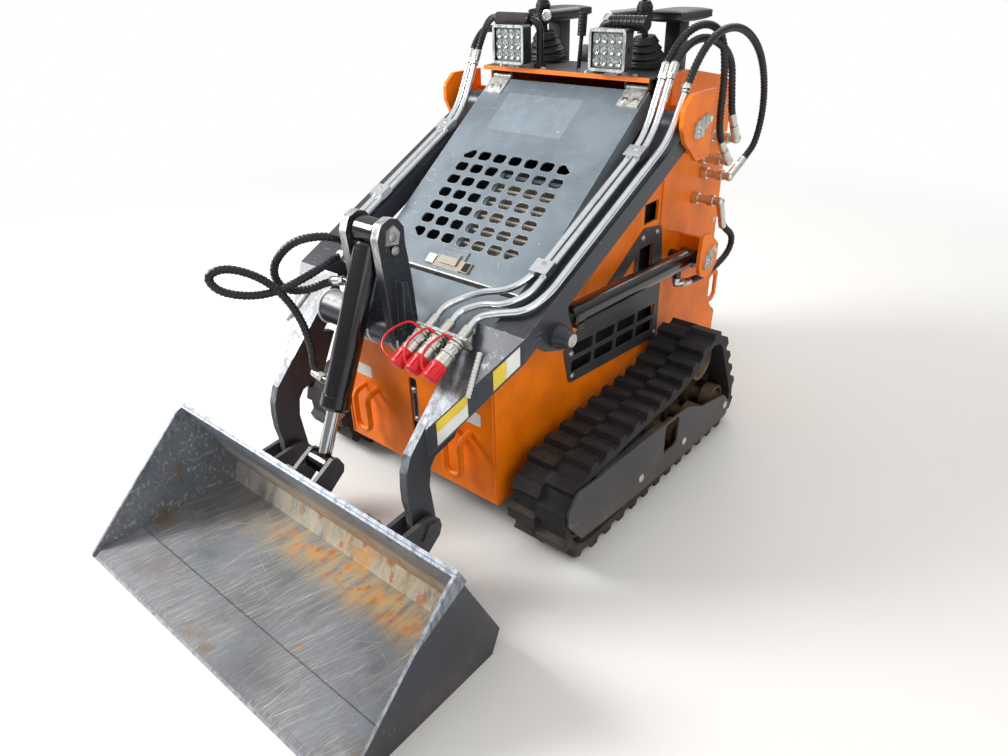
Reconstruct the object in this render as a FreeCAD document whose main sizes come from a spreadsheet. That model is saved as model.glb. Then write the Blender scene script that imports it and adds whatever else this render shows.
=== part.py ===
import FreeCAD, Part
import math
import os
import re
import Sketcher
from FreeCAD import Placement, Rotation, Vector

# Compact rubber-tracked loader with a stand-on platform.
# Millimetres, +Z up, the bucket faces -Y and the machine's left side faces +X.
# Every body is drawn at its working place in one shared frame.

os.makedirs("parts", exist_ok=True)

SIZES = (
    # chassis side panels, in side view
    ("panel_face", 305), ("panel_thick", 8), ("frame_front", -383), ("frame_rear", 820),
    ("frame_low", 124), ("tail_y", 905), ("tail_low", 150), ("tail_high", 235),
    ("tail_knee_y", 850), ("tail_knee_z", 309), ("waist_z", 360), ("shoulder_y", 759),
    ("shoulder_z", 1109), ("rear_top_z", 1060), ("console_back", 523), ("console_high", 1151),
    ("console_front", 345), ("sill_front", 504), ("sill_rear", 1052), ("sheet_thick", 6),
    ("square_y", 358), ("square_z", 770), ("square_wide", 80), ("square_tall", 62),
    ("port_hole", 19), ("port_reach", 98), ("port_tube", 13), ("port_nut", 18),
    ("ring_y", 860), ("ring_z", 366), ("ring_half_y", 43), ("ring_half_z", 64), ("ring_bar", 20),
    # tower doubler and the two pivot ears
    ("doubler_thick", 4), ("doubler_low_z", 698), ("doubler_mid_y", 743),
    ("doubler_mid_z", 590), ("doubler_rear_z", 563), ("ear_face", 435), ("ear_thick", 12),
    ("ear_web_y", 415), ("web_thick", 12), ("ear_web_low", 940), ("ear_web_high", 1068),
    ("lower_web_y", 560), ("lower_web_low", 560), ("lower_web_high", 690),
    # linkage points, y and z
    ("lift_pivot_y", 340), ("lift_pivot_z", 1027), ("barrel_pin_y", 503), ("barrel_pin_z", 599),
    ("rod_pin_y", -275), ("rod_pin_z", 641), ("bucket_pin_y", -628), ("bucket_pin_z", 200),
    ("tilt_top_y", -466), ("tilt_top_z", 872), ("tilt_eye_y", -712), ("tilt_eye_z", 322),
    ("pin_gap", 0.3), ("pin_radius", 15),
    # front panel and hood
    ("slot_half", 16), ("slot_low", 245), ("slot_high", 425), ("slot_depth", 30),
    ("tie_half", 186), ("tie_spread", 28), ("tie_low", 205), ("tie_high", 330), ("tie_reach", 44),
    ("tie_rod", 9), ("hood_front_y", -235), ("hood_front_z", 691), ("hood_slope", 36.9),
    ("hood_long", 702), ("hood_half", 286), ("hood_skin", 4), ("hood_flange", 55),
    ("hood_corner", 18), ("grille_first", 108), ("grille_pitch_u", 49), ("grille_pitch_x", 58),
    ("grille_hole_x", 44), ("grille_hole_u", 33), ("latch_wide", 96), ("latch_long", 66),
    ("hinge_half", 34), ("hinge_x", 245), ("hinge_pin", 7), ("hood_axis_y", 335),
    ("hood_axis_z", 1120),
    # engine and radiator block
    ("engine_half", 190), ("engine_front", -60), ("engine_rear", 560),
    ("engine_high", 560), ("screen_front", -240), ("screen_half", 200), ("screen_low", 330),
    ("screen_high", 520),
    # vent plate
    ("vent_thick", 4), ("vent_front", -87), ("vent_knee_y", -59), ("vent_low_z", 368),
    ("vent_rear", 449), ("vent_rear_low", 323), ("vent_nose_z", 481), ("vent_peak_y", 319),
    ("vent_peak_z", 730), ("vent_corner_z", 717), ("vent_corner_y", 410), ("slot_long", 105),
    ("slot_rise", 38), ("slot_gap", 15), ("slot_row_gap", 14), ("slot_start_y", -52),
    ("slot_start_z", 399), ("slot_tilt", -4.5), ("rect_vent_y", 296), ("rect_vent_wide", 80),
    ("rect_vent_z", 560), ("rect_vent_tall", 112), ("tri_vent_y", 170), ("tri_vent_long", 106),
    ("tri_vent_z", 585), ("tri_vent_tall", 70),
    # operator's place
    ("platform_half", 225), ("platform_rear", 1150), ("platform_low", 112),
    ("platform_thick", 40), ("platform_corner", 70), ("kick_high", 330), ("pad_half", 190),
    ("pad_low", 560), ("pad_high", 960), ("pad_thick", 60), ("console_ledge", 300), ("ledge_drop", 12),
    # lights, grips and controls
    ("light_x", 175), ("light_y", 292), ("light_z", 1217), ("light_wide", 118),
    ("light_tall", 108), ("light_deep", 40), ("light_frame", 8), ("grip_post_x", 108),
    ("grip_y", 345), ("grip_top", 1279), ("grip_end", 262), ("grip_foam", 19), ("grip_rod", 11),
    ("boot_x", 180), ("boot_y", 476), ("boot_radius", 58), ("boot_high", 78), ("stick_high", 170),
    ("stick_radius", 21), ("rest_x", 215), ("rest_y", 500), ("rest_z", 1268), ("rest_long", 190),
    ("rest_wide", 120), ("rest_thick", 38), ("throttle_y", 395), ("throttle_high", 1300),
    # crawler tracks
    ("track_in", 350), ("track_out", 530), ("belt_thick", 22), ("lug_high", 18),
    ("front_wheel_y", -250), ("front_wheel_z", 145), ("rear_wheel_y", 551), ("rear_wheel_z", 95),
    ("drive_y", 431), ("drive_z", 292), ("drive_tip", 110), ("sag_y", 120), ("sag_z", 316),
    ("lug_count", 32), ("guide_half", 18), ("guide_high", 26), ("wheel_gap", 4.2),
    ("wheel_rim", 40), ("roller_first", -95), ("roller_pitch", 125), ("roller_count", 5),
    ("axle_radius", 14), ("beam_low", 112), ("beam_high", 190),
    ("leg_wide", 110), ("leg_front", -190), ("leg_rear", 250),
    ("cover_in", "=track_out + 3"), ("cover_thick", 7), ("cover_lip", 14),
    # loader arms
    ("arm_in", 320), ("arm_out", 420), ("arm_joint_y", -400), ("arm_joint_low", 617),
    ("arm_joint_high", 681), ("arm_rear_low", 994), ("arm_rear_high", 1049),
    ("hub_radius", 42), ("neck_in", 250), ("neck_thick", 25), ("wedge_y", -600),
    ("wedge_low", 400), ("wedge_high", 480), ("wedge_out", 280), ("fork_thick", 12),
    ("cross_y", -436), ("cross_z", 597), ("cross_radius", 46),
    ("mast_in", 45), ("mast_thick", 25), ("neck_end", 40), ("mast_end", 45),
    # lift cylinders
    ("lift_x", 370), ("lift_eye_half", 25), ("lift_eye", 30), ("lift_barrel", 30),
    ("lift_bore", 25), ("lift_neck", 111),
    ("lift_long", "=sqrt((rod_pin_y - barrel_pin_y)^2 + (rod_pin_z - barrel_pin_z)^2) - lift_neck"),
    ("lift_rod", 16), ("lift_piston", 72),
    # tilt cylinder
    ("tilt_eye_half", 33), ("tilt_eye_top", 34), ("tilt_barrel", 36), ("tilt_bore", 30),
    ("tilt_neck", 147.5),
    ("tilt_long", "=sqrt((tilt_eye_y - tilt_top_y)^2 + (tilt_eye_z - tilt_top_z)^2) - tilt_neck"),
    ("tilt_rod", 18), ("tilt_piston", 112), ("tilt_rod_eye", 26),
    # bucket and its quick-attach plate
    ("bucket_half", 550), ("bucket_lip_y", -1150), ("heel_y", -697), ("knee_y", -667),
    ("knee_z", 63), ("back_lean", 25.6), ("back_long", 296), ("bucket_skin", 7),
    ("side_thick", 8), ("edge_thick", 14), ("edge_deep", 150), ("rim_thick", 9),
    ("rim_deep", 46), ("plate_thick", 12), ("plate_first", 15), ("plate_last", 288),
    ("plate_half", 320), ("plate_window", 38), ("lug_in", 228), ("lug_out", 285),
    ("lug_thick", 12), ("tilt_lug_in", 36), ("tilt_lug_thick", 12),
    # tubes and hoses
    ("tube_radius", 9.5), ("hose_radius", 11), ("coupler_radius", 19),
    ("coupler_start", 880), ("coupler_lift", 38.5), ("cross_plate_in", 138), ("cross_plate_out", 304),
)
NAMES = {name for name, number in SIZES}
SIDE = "YZ_Plane"
FRONT = "XZ_Plane"
TOP = "XY_Plane"
ALONG = {SIDE: 0, FRONT: 1, TOP: 2}

doc = FreeCAD.newDocument("tracked_loader")
sheet = doc.addObject("Spreadsheet::Sheet", "Sizes")
for line, (name, number) in enumerate(SIZES, 1):
    sheet.set("A%d" % line, name)
    sheet.set("B%d" % line, str(number))
    sheet.setAlias("B%d" % line, name)
doc.recompute()
NODES = []


def bound(text):
    """Point the size names in an expression at the sheet."""
    return re.sub(r"[a-z][a-z0-9_]*",
        lambda m: "Sizes." + m.group(0) if m.group(0) in NAMES else m.group(0), str(text))


def value(text):
    """The number that an expression of size names gives."""
    if not isinstance(text, str):
        return float(text)
    result = sheet.evalExpression(bound(text))
    return float(getattr(result, "Value", result))


def tie(item, prop, text):
    item.setExpression(prop, bound(text))


def origin_plane(body, role):
    return [item for item in body.Origin.OriginFeatures if item.Role == role][0]


def hold(sketch, kind, line, point, text):
    number = sketch.addConstraint(Sketcher.Constraint(kind, -1, 1, line, point, value(text)))
    if isinstance(text, str):
        tie(sketch, "Constraints[%d]" % number, text)


def draw(sketch, loop):
    """Draw one closed loop: a list of corners, or a disc as (a, b, radius)."""
    first = sketch.GeometryCount
    if isinstance(loop, tuple):
        a, b, radius = loop
        sketch.addGeometry(Part.Circle(Vector(value(a), value(b), 0), Vector(0, 0, 1), value(radius)), False)
        hold(sketch, "DistanceX", first, 3, a)
        hold(sketch, "DistanceY", first, 3, b)
        number = sketch.addConstraint(Sketcher.Constraint("Radius", first, value(radius)))
        if isinstance(radius, str):
            tie(sketch, "Constraints[%d]" % number, radius)
        return
    spots = [Vector(value(a), value(b), 0) for a, b in loop]
    count = len(spots)
    for i in range(count):
        sketch.addGeometry(Part.LineSegment(spots[i], spots[(i + 1) % count]), False)
    for i in range(count):
        sketch.addConstraint(Sketcher.Constraint("Coincident", first + i, 2, first + (i + 1) % count, 1))
    for i, (a, b) in enumerate(loop):
        hold(sketch, "DistanceX", first + i, 1, a)
        hold(sketch, "DistanceY", first + i, 1, b)


def new_sketch(body, role, offset, loops):
    sketch = body.newObject("Sketcher::SketchObject", body.Name + "_sketch")
    sketch.AttachmentSupport = [(origin_plane(body, role), "")]
    sketch.MapMode = "FlatFace"
    tie(sketch, "AttachmentOffset.Base.z", offset)
    for loop in loops:
        draw(sketch, loop)
    return sketch


def pad(body, role, low, high, *loops):
    """Add loops between two heights along the plane's world axis."""
    start = "-(%s)" % high if role == FRONT else low
    sketch = new_sketch(body, role, start, loops)
    feature = body.newObject("PartDesign::Pad", body.Name + "_pad")
    feature.Profile = (sketch, [""])
    tie(feature, "Length", "(%s) - (%s)" % (high, low))
    return feature


def pocket(body, role, low, high, *loops):
    """Cut loops away between two heights along the plane's world axis."""
    start = "-(%s)" % low if role == FRONT else high
    sketch = new_sketch(body, role, start, loops)
    feature = body.newObject("PartDesign::Pocket", body.Name + "_pocket")
    feature.Profile = (sketch, [""])
    tie(feature, "Length", "(%s) - (%s)" % (high, low))
    return feature


def plate(name, role, low, high, *loops):
    body = doc.addObject("PartDesign::Body", name)
    body.AllowCompound = True
    pad(body, role, low, high, *loops)
    return body


def soften(body, role, radius, spots, kind="Fillet"):
    """Round the corners that stand at the given spots of a plane."""
    doc.recompute()
    base = body.Tip
    axis = ALONG[role]
    flat = [i for i in range(3) if i != axis]
    wanted = [(value(a), value(b)) for a, b in spots]
    names = []
    for number, edge in enumerate(base.Shape.Edges, 1):
        if len(edge.Vertexes) != 2:
            continue
        one, two = [v.Point for v in edge.Vertexes]
        if abs(one[flat[0]] - two[flat[0]]) > 0.01 or abs(one[flat[1]] - two[flat[1]]) > 0.01:
            continue
        if any(abs(one[flat[0]] - a) < 0.05 and abs(one[flat[1]] - b) < 0.05 for a, b in wanted):
            names.append("Edge%d" % number)
    if not names:
        raise RuntimeError("no corner found on " + body.Name)
    feature = body.newObject("PartDesign::" + kind, body.Name + "_soft")
    feature.Base = (base, names)
    tie(feature, "Radius" if kind == "Fillet" else "Size", radius)
    return feature


def revolve(name, axis, loop):
    """Turn a profile in the ground plane about the body's own X or Y axis."""
    body = doc.addObject("PartDesign::Body", name)
    sketch = new_sketch(body, TOP, 0, [loop])
    feature = body.newObject("PartDesign::Revolution", name + "_turn")
    feature.Profile = (sketch, [""])
    feature.ReferenceAxis = (sketch, ["H_Axis" if axis == "x" else "V_Axis"])
    feature.Angle = 360
    return body


def block(name, x_low, x_high, y_low, y_high, z_low, z_high):
    item = doc.addObject("Part::Box", name)
    for prop, low, high in (("Length", x_low, x_high), ("Width", y_low, y_high), ("Height", z_low, z_high)):
        tie(item, prop, "(%s) - (%s)" % (high, low))
    for axis, low in (("x", x_low), ("y", y_low), ("z", z_low)):
        tie(item, "Placement.Base." + axis, low)
    return item


def bar(name, axis, low, high, first, second, radius):
    """A round bar along one world axis; first and second are its place in the other two."""
    item = doc.addObject("Part::Cylinder", name)
    turn = {"x": Rotation(Vector(0, 1, 0), 90), "y": Rotation(Vector(1, 0, 0), -90), "z": Rotation()}
    item.Placement = Placement(Vector(), turn[axis])
    tie(item, "Radius", radius)
    tie(item, "Height", "(%s) - (%s)" % (high, low))
    others = [letter for letter in "xyz" if letter != axis]
    tie(item, "Placement.Base." + axis, low)
    tie(item, "Placement.Base." + others[0], first)
    tie(item, "Placement.Base." + others[1], second)
    return item


def join(name, *items):
    result = doc.addObject("Part::MultiFuse", name)
    result.Shapes = list(items)
    return result


def cut(name, base, tool):
    result = doc.addObject("Part::Cut", name)
    result.Base = base
    result.Tool = tool
    return result


def flip(name, source):
    result = doc.addObject("Part::Mirroring", name)
    result.Source = source
    result.Normal = Vector(1, 0, 0)
    result.Base = Vector(0, 0, 0)
    return result


def place(item, x, y, z, angle="0"):
    """Turn an item about X by an angle and move it to its point."""
    item.Placement = Placement(Vector(), Rotation(Vector(1, 0, 0), 10))
    tie(item, "Placement.Rotation.Angle", angle)
    tie(item, "Placement.Base.x", x)
    tie(item, "Placement.Base.y", y)
    tie(item, "Placement.Base.z", z)
    return item


def node(item, label):
    item.Label = label
    NODES.append(item)
    return item


def fixed_shape(name, shape):
    item = doc.addObject("Part::Feature", name)
    item.Shape = shape
    item.Placement = Placement()
    return item


def tube(points, radius, bend=0.45):
    """A round tube along straight runs joined by tangent arcs."""
    spots = [Vector(*[value(p) for p in point]) for point in points]
    radius = value(radius)
    edges = []
    last = spots[0]
    length = 0.0
    for i in range(1, len(spots) - 1):
        before = (spots[i] - spots[i - 1])
        after = (spots[i + 1] - spots[i])
        half = before.getAngle(after) / 2
        reach = bend * min(before.Length, after.Length)
        ahead = Vector(after).normalize()
        back = Vector(before).normalize()
        start = spots[i] - back * reach
        finish = spots[i] + ahead * reach
        turn = reach / math.tan(half)
        inward = (ahead - back).normalize()
        centre = spots[i] + inward * (turn / math.cos(half))
        middle = centre - inward * turn
        if (start - last).Length > 0.01:
            edges.append(Part.LineSegment(last, start).toShape())
            length += (start - last).Length
        edges.append(Part.Arc(start, middle, finish).toShape())
        length += turn * 2 * half
        last = finish
    edges.append(Part.LineSegment(last, spots[-1]).toShape())
    length += (spots[-1] - last).Length
    path = Part.Wire(edges)
    ring = Part.Wire([Part.Circle(spots[0], spots[1] - spots[0], radius).toShape()])
    solid = path.makePipeShell([ring], True, True)
    if solid.Volume < 0:
        solid.reverse()
    expected = math.pi * radius * radius * length
    if abs(solid.Volume - expected) > 0.01 * expected:
        raise RuntimeError("tube volume is off: %.0f for %.0f" % (solid.Volume, expected))
    return solid


def rod_between(start, finish, radius):
    a = Vector(*[value(p) for p in start])
    b = Vector(*[value(p) for p in finish])
    return Part.makeCylinder(value(radius), (b - a).Length, a, b - a)


def slanted(y, z, angle):
    """Corners given along and across a line that leaves a point at an angle."""
    def corner(u, v):
        a = "(%s) + (%s) * cos(%s) - (%s) * sin(%s)" % (y, u, angle, v, angle)
        b = "(%s) + (%s) * sin(%s) + (%s) * cos(%s)" % (z, u, angle, v, angle)
        return a, b
    return corner


# Side panels
panel_in = "panel_face - panel_thick"
side = plate("SidePanel", SIDE, panel_in, "panel_face", [
    ("frame_front", "frame_low"), ("frame_rear", "frame_low"), ("tail_y", "tail_low"),
    ("tail_y", "tail_high"), ("tail_knee_y", "tail_knee_z"), ("frame_rear", "waist_z"),
    ("frame_rear", "rear_top_z"), ("shoulder_y", "shoulder_z"), ("console_back", "console_high"),
    ("console_front", "console_high"), ("console_front", "sill_rear"), ("frame_front", "sill_front"),
])
half_wide = "square_wide / 2"
half_tall = "square_tall / 2"
PORTS = ((678, 941), (638, 880), (664, 827), (618, 756))
pocket(side, SIDE, panel_in, "panel_face", *[
    [("square_y - %s" % half_wide, "square_z - %s" % half_tall),
    ("square_y + %s" % half_wide, "square_z - %s" % half_tall),
    ("square_y + %s" % half_wide, "square_z + %s" % half_tall),
    ("square_y - %s" % half_wide, "square_z + %s" % half_tall)],
    [("slot_start_y - 6", "slot_start_z - 8"), ("slot_start_y + 472", "slot_start_z - 46"),
    ("slot_start_y + 472", "slot_start_z + 52"), ("slot_start_y + 8", "slot_start_z + 90")],
    [("rect_vent_y - 6", "rect_vent_z - 6"), ("rect_vent_y + rect_vent_wide + 6", "rect_vent_z - 6"),
    ("rect_vent_y + rect_vent_wide + 6", "rect_vent_z + rect_vent_tall + 6"),
    ("rect_vent_y - 6", "rect_vent_z + rect_vent_tall + 6")],
])
soften(side, SIDE, "24", [("tail_y", "tail_low"), ("tail_y", "tail_high")])
pad(side, SIDE, panel_in, "panel_face", [
    ("ring_y - ring_half_y", "ring_z - ring_half_z + 22"),
    ("ring_y - ring_half_y + 22", "ring_z - ring_half_z"),
    ("ring_y + ring_half_y - 22", "ring_z - ring_half_z"),
    ("ring_y + ring_half_y", "ring_z - ring_half_z + 22"),
    ("ring_y + ring_half_y", "ring_z + ring_half_z - 22"),
    ("ring_y + ring_half_y - 22", "ring_z + ring_half_z"),
    ("ring_y - ring_half_y + 22", "ring_z + ring_half_z"),
    ("ring_y - ring_half_y", "ring_z + ring_half_z - 22"),
])
pocket(side, SIDE, panel_in, "panel_face", [
    ("ring_y - ring_half_y + ring_bar", "ring_z - ring_half_z + 30"),
    ("ring_y - ring_half_y + ring_bar + 10", "ring_z - ring_half_z + ring_bar"),
    ("ring_y + ring_half_y - ring_bar - 10", "ring_z - ring_half_z + ring_bar"),
    ("ring_y + ring_half_y - ring_bar", "ring_z - ring_half_z + 30"),
    ("ring_y + ring_half_y - ring_bar", "ring_z + ring_half_z - 30"),
    ("ring_y + ring_half_y - ring_bar - 10", "ring_z + ring_half_z - ring_bar"),
    ("ring_y - ring_half_y + ring_bar + 10", "ring_z + ring_half_z - ring_bar"),
    ("ring_y - ring_half_y + ring_bar", "ring_z + ring_half_z - 30"),
])
node(side, "side_panel_left")
node(flip("SidePanelRight", side), "side_panel_right")

# tower doubler with the arm ear above and the cylinder ear below
tower = plate("TowerDoubler", SIDE, "panel_face", "panel_face + doubler_thick", [
    ("ear_web_y", "doubler_low_z + 24"), ("ear_web_y + 20", "doubler_low_z"),
    ("doubler_mid_y", "doubler_mid_z"), ("frame_rear", "doubler_rear_z"),
    ("frame_rear", "rear_top_z"), ("shoulder_y", "shoulder_z"), ("console_back", "console_high"),
    ("ear_web_y", "console_high"),
])
pocket(tower, SIDE, "panel_face", "panel_face + doubler_thick", *[(a, b, "port_hole") for a, b in PORTS])
ear_in = "ear_face - ear_thick"
ear = plate("ArmEar", SIDE, ear_in, "ear_face", [
    (309, 975), (275, 1000), (252, 1044), (253, 1089), (295, 1122), ("ear_web_y + web_thick", 1122),
    ("ear_web_y + web_thick", "ear_web_low"), (350, "ear_web_low"),
])
soften(ear, SIDE, "20", [(252, 1044), (253, 1089), (295, 1122), (275, 1000)])
pocket(ear, SIDE, ear_in, "ear_face", ("lift_pivot_y", "lift_pivot_z", "pin_radius + 0.5"))
ear_web = block("ArmEarWeb", "panel_face", ear_in, "ear_web_y", "ear_web_y + web_thick", "ear_web_low",
    "ear_web_high")
low_ear = plate("CylinderEar", SIDE, ear_in, "ear_face", [
    (457, 694), (508, 690), ("lower_web_y + web_thick", 640), ("lower_web_y + web_thick", 575),
    (540, 548), (500, 545), (465, 562), (450, 590), (452, 640),
])
soften(low_ear, SIDE, "14", [(540, 548), (500, 545), (465, 562), (457, 694)])
pocket(low_ear, SIDE, ear_in, "ear_face", ("barrel_pin_y", "barrel_pin_z", "pin_radius + 0.5"))
low_web = block("CylinderEarWeb", "panel_face", ear_in, "lower_web_y", "lower_web_y + web_thick",
    "lower_web_low", "lower_web_high - 40")
keeper_up = plate("ArmPinKeeper", SIDE, "ear_face", "ear_face + 6", [
    ("lift_pivot_y - 24", "lift_pivot_z - 24"), ("lift_pivot_y + 24", "lift_pivot_z - 24"),
    ("lift_pivot_y + 66", "lift_pivot_z + 16"), ("lift_pivot_y + 50", "lift_pivot_z + 36"),
    ("lift_pivot_y", "lift_pivot_z + 26"), ("lift_pivot_y - 24", "lift_pivot_z + 12"),
])
soften(keeper_up, SIDE, "10", [
    ("lift_pivot_y - 24", "lift_pivot_z - 24"), ("lift_pivot_y + 24", "lift_pivot_z - 24"),
    ("lift_pivot_y + 66", "lift_pivot_z + 16"), ("lift_pivot_y + 50", "lift_pivot_z + 36"),
    ("lift_pivot_y", "lift_pivot_z + 26"), ("lift_pivot_y - 24", "lift_pivot_z + 12"),
])
pocket(keeper_up, SIDE, "ear_face", "ear_face + 6", ("lift_pivot_y", "lift_pivot_z", "pin_radius - 3"))
keeper_low = plate("CylinderPinKeeper", SIDE, "ear_face", "ear_face + 6", [
    ("barrel_pin_y - 26", "barrel_pin_z - 22"), ("barrel_pin_y + 22", "barrel_pin_z - 24"),
    ("barrel_pin_y + 40", "barrel_pin_z + 34"), ("barrel_pin_y + 22", "barrel_pin_z + 46"),
    ("barrel_pin_y - 20", "barrel_pin_z + 22"),
])
soften(keeper_low, SIDE, "9", [
    ("barrel_pin_y - 26", "barrel_pin_z - 22"), ("barrel_pin_y + 22", "barrel_pin_z - 24"),
    ("barrel_pin_y + 40", "barrel_pin_z + 34"), ("barrel_pin_y + 22", "barrel_pin_z + 46"),
    ("barrel_pin_y - 20", "barrel_pin_z + 22"),
])
pocket(keeper_low, SIDE, "ear_face", "ear_face + 6", ("barrel_pin_y", "barrel_pin_z", "pin_radius - 3"))
tower_all = join("PivotBracket", tower, ear, ear_web, low_ear, low_web, keeper_up, keeper_low)
node(tower_all, "pivot_bracket_left")
node(flip("PivotBracketRight", tower_all), "pivot_bracket_right")

# Front panel
inner = panel_in
face = plate("FrontPanel", FRONT, "frame_front", "frame_front + panel_thick", [
    ("-(%s)" % inner, "frame_low"), (inner, "frame_low"), (inner, "sill_front + 52"),
    ("-(%s)" % inner, "sill_front + 52"),
])
pocket(face, FRONT, "frame_front", "frame_front + panel_thick", [
    ("-slot_half", "slot_low"), ("slot_half", "slot_low"), ("slot_half", "slot_high"),
    ("-slot_half", "slot_high"),
])
soften(face, FRONT, "8", [
    ("-slot_half", "slot_low"), ("slot_half", "slot_low"), ("slot_half", "slot_high"),
    ("-slot_half", "slot_high"),
])
recess = block("GaugeRecess", "-(slot_half + 8)", "slot_half + 8", "frame_front + panel_thick",
               "frame_front + slot_depth", "slot_low - 8", "slot_high + 8")
hollow = block("GaugeHollow", "-slot_half", "slot_half", "frame_front + panel_thick - 1",
               "frame_front + slot_depth - 4", "slot_low", "slot_high")
gauge = bar("GaugeTube", "z", "slot_low - 5", "slot_high + 5", "0", "frame_front + 16", "7")
pieces = [face, cut("GaugeBox", recess, hollow), gauge]
for number, hand in enumerate((-1, 1)):
    x_in = value("tie_half - tie_spread") * hand
    x_out = value("tie_half + tie_spread") * hand
    y_face = value("frame_front + 1")
    y_out = value("frame_front - tie_reach")
    top = value("tie_high")
    low = value("tie_low")
    shape = tube([(x_in, y_face, top), (x_in, y_out, top - 8), (x_in, y_out, low),
                  (x_out, y_out, low), (x_out, y_out, top - 8), (x_out, y_face, top)], "tie_rod", 0.42)
    pieces.append(fixed_shape("TieLoop%d" % number, shape))
node(join("FrontPanelSet", *pieces), "front_panel")

node(plate("BellyPlate", TOP, "frame_low", "frame_low + panel_thick", [
    ("-(%s)" % inner, "frame_front + panel_thick"), (inner, "frame_front + panel_thick"),
    (inner, "frame_rear"), ("-(%s)" % inner, "frame_rear"),
]), "belly_plate")

rear = plate("RearWall", FRONT, "frame_rear - panel_thick", "frame_rear", [
    ("-(%s)" % inner, "frame_low + panel_thick"), (inner, "frame_low + panel_thick"),
    (inner, "rear_top_z"), ("-(%s)" % inner, "rear_top_z"),
])
pocket(rear, FRONT, "frame_rear - panel_thick", "frame_rear", *[
    [(-150, low), (150, low), (150, low + 16), (-150, low + 16)] for low in (400, 430, 460, 490)])
node(rear, "rear_wall")

# console top, bent from one sheet, with the ledge that carries the hood hinges
console = plate("ConsoleTop", SIDE, "-(%s)" % inner, inner, [
    ("console_ledge", "console_high - sheet_thick"), ("console_back", "console_high - sheet_thick"),
    ("shoulder_y - 1", "shoulder_z - sheet_thick"), ("frame_rear - panel_thick", "rear_top_z + 1"),
    ("frame_rear", "rear_top_z + 1"), ("shoulder_y", "shoulder_z"), ("console_back", "console_high"),
    ("console_ledge", "console_high"),
])
strip = plate("HingeStrip", SIDE, "-(%s)" % inner, inner, [
    ("console_ledge", "console_high - ledge_drop"), ("console_ledge + 4", "console_high - ledge_drop"),
    ("console_ledge + 4", "console_high - sheet_thick"), ("console_ledge", "console_high - sheet_thick"),
])
dash = plate("DashBox", SIDE, "-118", "118", [
    (560, "console_high - 16"), (590, "console_high + 44"), (640, "console_high + 34"),
    (690, "console_high - 40"),
])
knuckles = []
for number, (low, high) in enumerate((
        ("-hinge_x - hinge_half - 6.3", "-hinge_x - hinge_half - 0.3"),
        ("-hinge_x + hinge_half + 0.3", "-hinge_x + hinge_half + 6.3"),
        ("hinge_x - hinge_half - 6.3", "hinge_x - hinge_half - 0.3"),
        ("hinge_x + hinge_half + 0.3", "hinge_x + hinge_half + 6.3"))):
    knuckles.append(block("HingeEar%d" % number, low, high, "hood_axis_y - hinge_pin",
        "hood_axis_y + hinge_pin",
                          "hood_axis_z", "console_high - sheet_thick"))
    knuckles.append(bar("HingeRound%d" % number, "x", low, high, "hood_axis_y", "hood_axis_z", "hinge_pin"))
node(join("ConsoleSet", console, strip, dash, *knuckles), "console_top")

lower_hood = plate("HoodLower", SIDE, "-(%s)" % inner, inner, [
    ("hood_front_y - 6", "hood_front_z - 10"), ("frame_front", "hood_front_z - 110"),
    ("frame_front", "sill_front + 52"), ("frame_front + sheet_thick", "sill_front + 52"),
    ("frame_front + sheet_thick", "hood_front_z - 113"), ("hood_front_y - 3", "hood_front_z - 15"),
])
node(lower_hood, "hood_lower_panel")

engine = block("EngineBlock", "-engine_half", "engine_half", "engine_front", "engine_rear",
               "frame_low + panel_thick", "engine_high")
fan_screen = block("RadiatorScreen", "-screen_half", "screen_half", "screen_front",
                   "screen_front + 60", "frame_low + panel_thick", "screen_high")
node(join("EngineSet", engine, block("EngineShelf", "-60", "60", "screen_front + 60", "engine_front",
                                     "frame_low + panel_thick", "screen_low"), fan_screen), "engine_block")

# Hood, drawn flat and then tilted
# Its own +Y runs from the low front edge up to the hinge, its own +Z stands out of the sheet.
hood = plate("HoodSheet", TOP, "-hood_flange", "0", [
    ("-hood_half", "0"), ("hood_half", "0"), ("hood_half", "hood_long"), ("-hood_half", "hood_long"),
])
soften(hood, TOP, "hood_corner", [("-hood_half", "0"), ("hood_half", "0")])
pocket(hood, TOP, "-hood_flange", "-hood_skin", [
    ("-(hood_half - hood_skin)", "hood_skin"), ("hood_half - hood_skin", "hood_skin"),
    ("hood_half - hood_skin", "hood_long + 1"), ("-(hood_half - hood_skin)", "hood_long + 1"),
])
half_x = "grille_hole_x / 2"
half_u = "grille_hole_u / 2"


def grille_hole(column):
    middle = "(%d * grille_pitch_x)" % column
    low = "(grille_first - %s)" % half_u
    high = "(grille_first + %s)" % half_u
    return [
        ("%s - %s + 8" % (middle, half_x), low), ("%s + %s - 8" % (middle, half_x), low),
        ("%s + %s" % (middle, half_x), low + " + 8"), ("%s + %s" % (middle, half_x), high + " - 8"),
        ("%s + %s - 8" % (middle, half_x), high), ("%s - %s + 8" % (middle, half_x), high),
        ("%s - %s" % (middle, half_x), high + " - 8"), ("%s - %s" % (middle, half_x), low + " + 8"),
    ]


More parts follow.
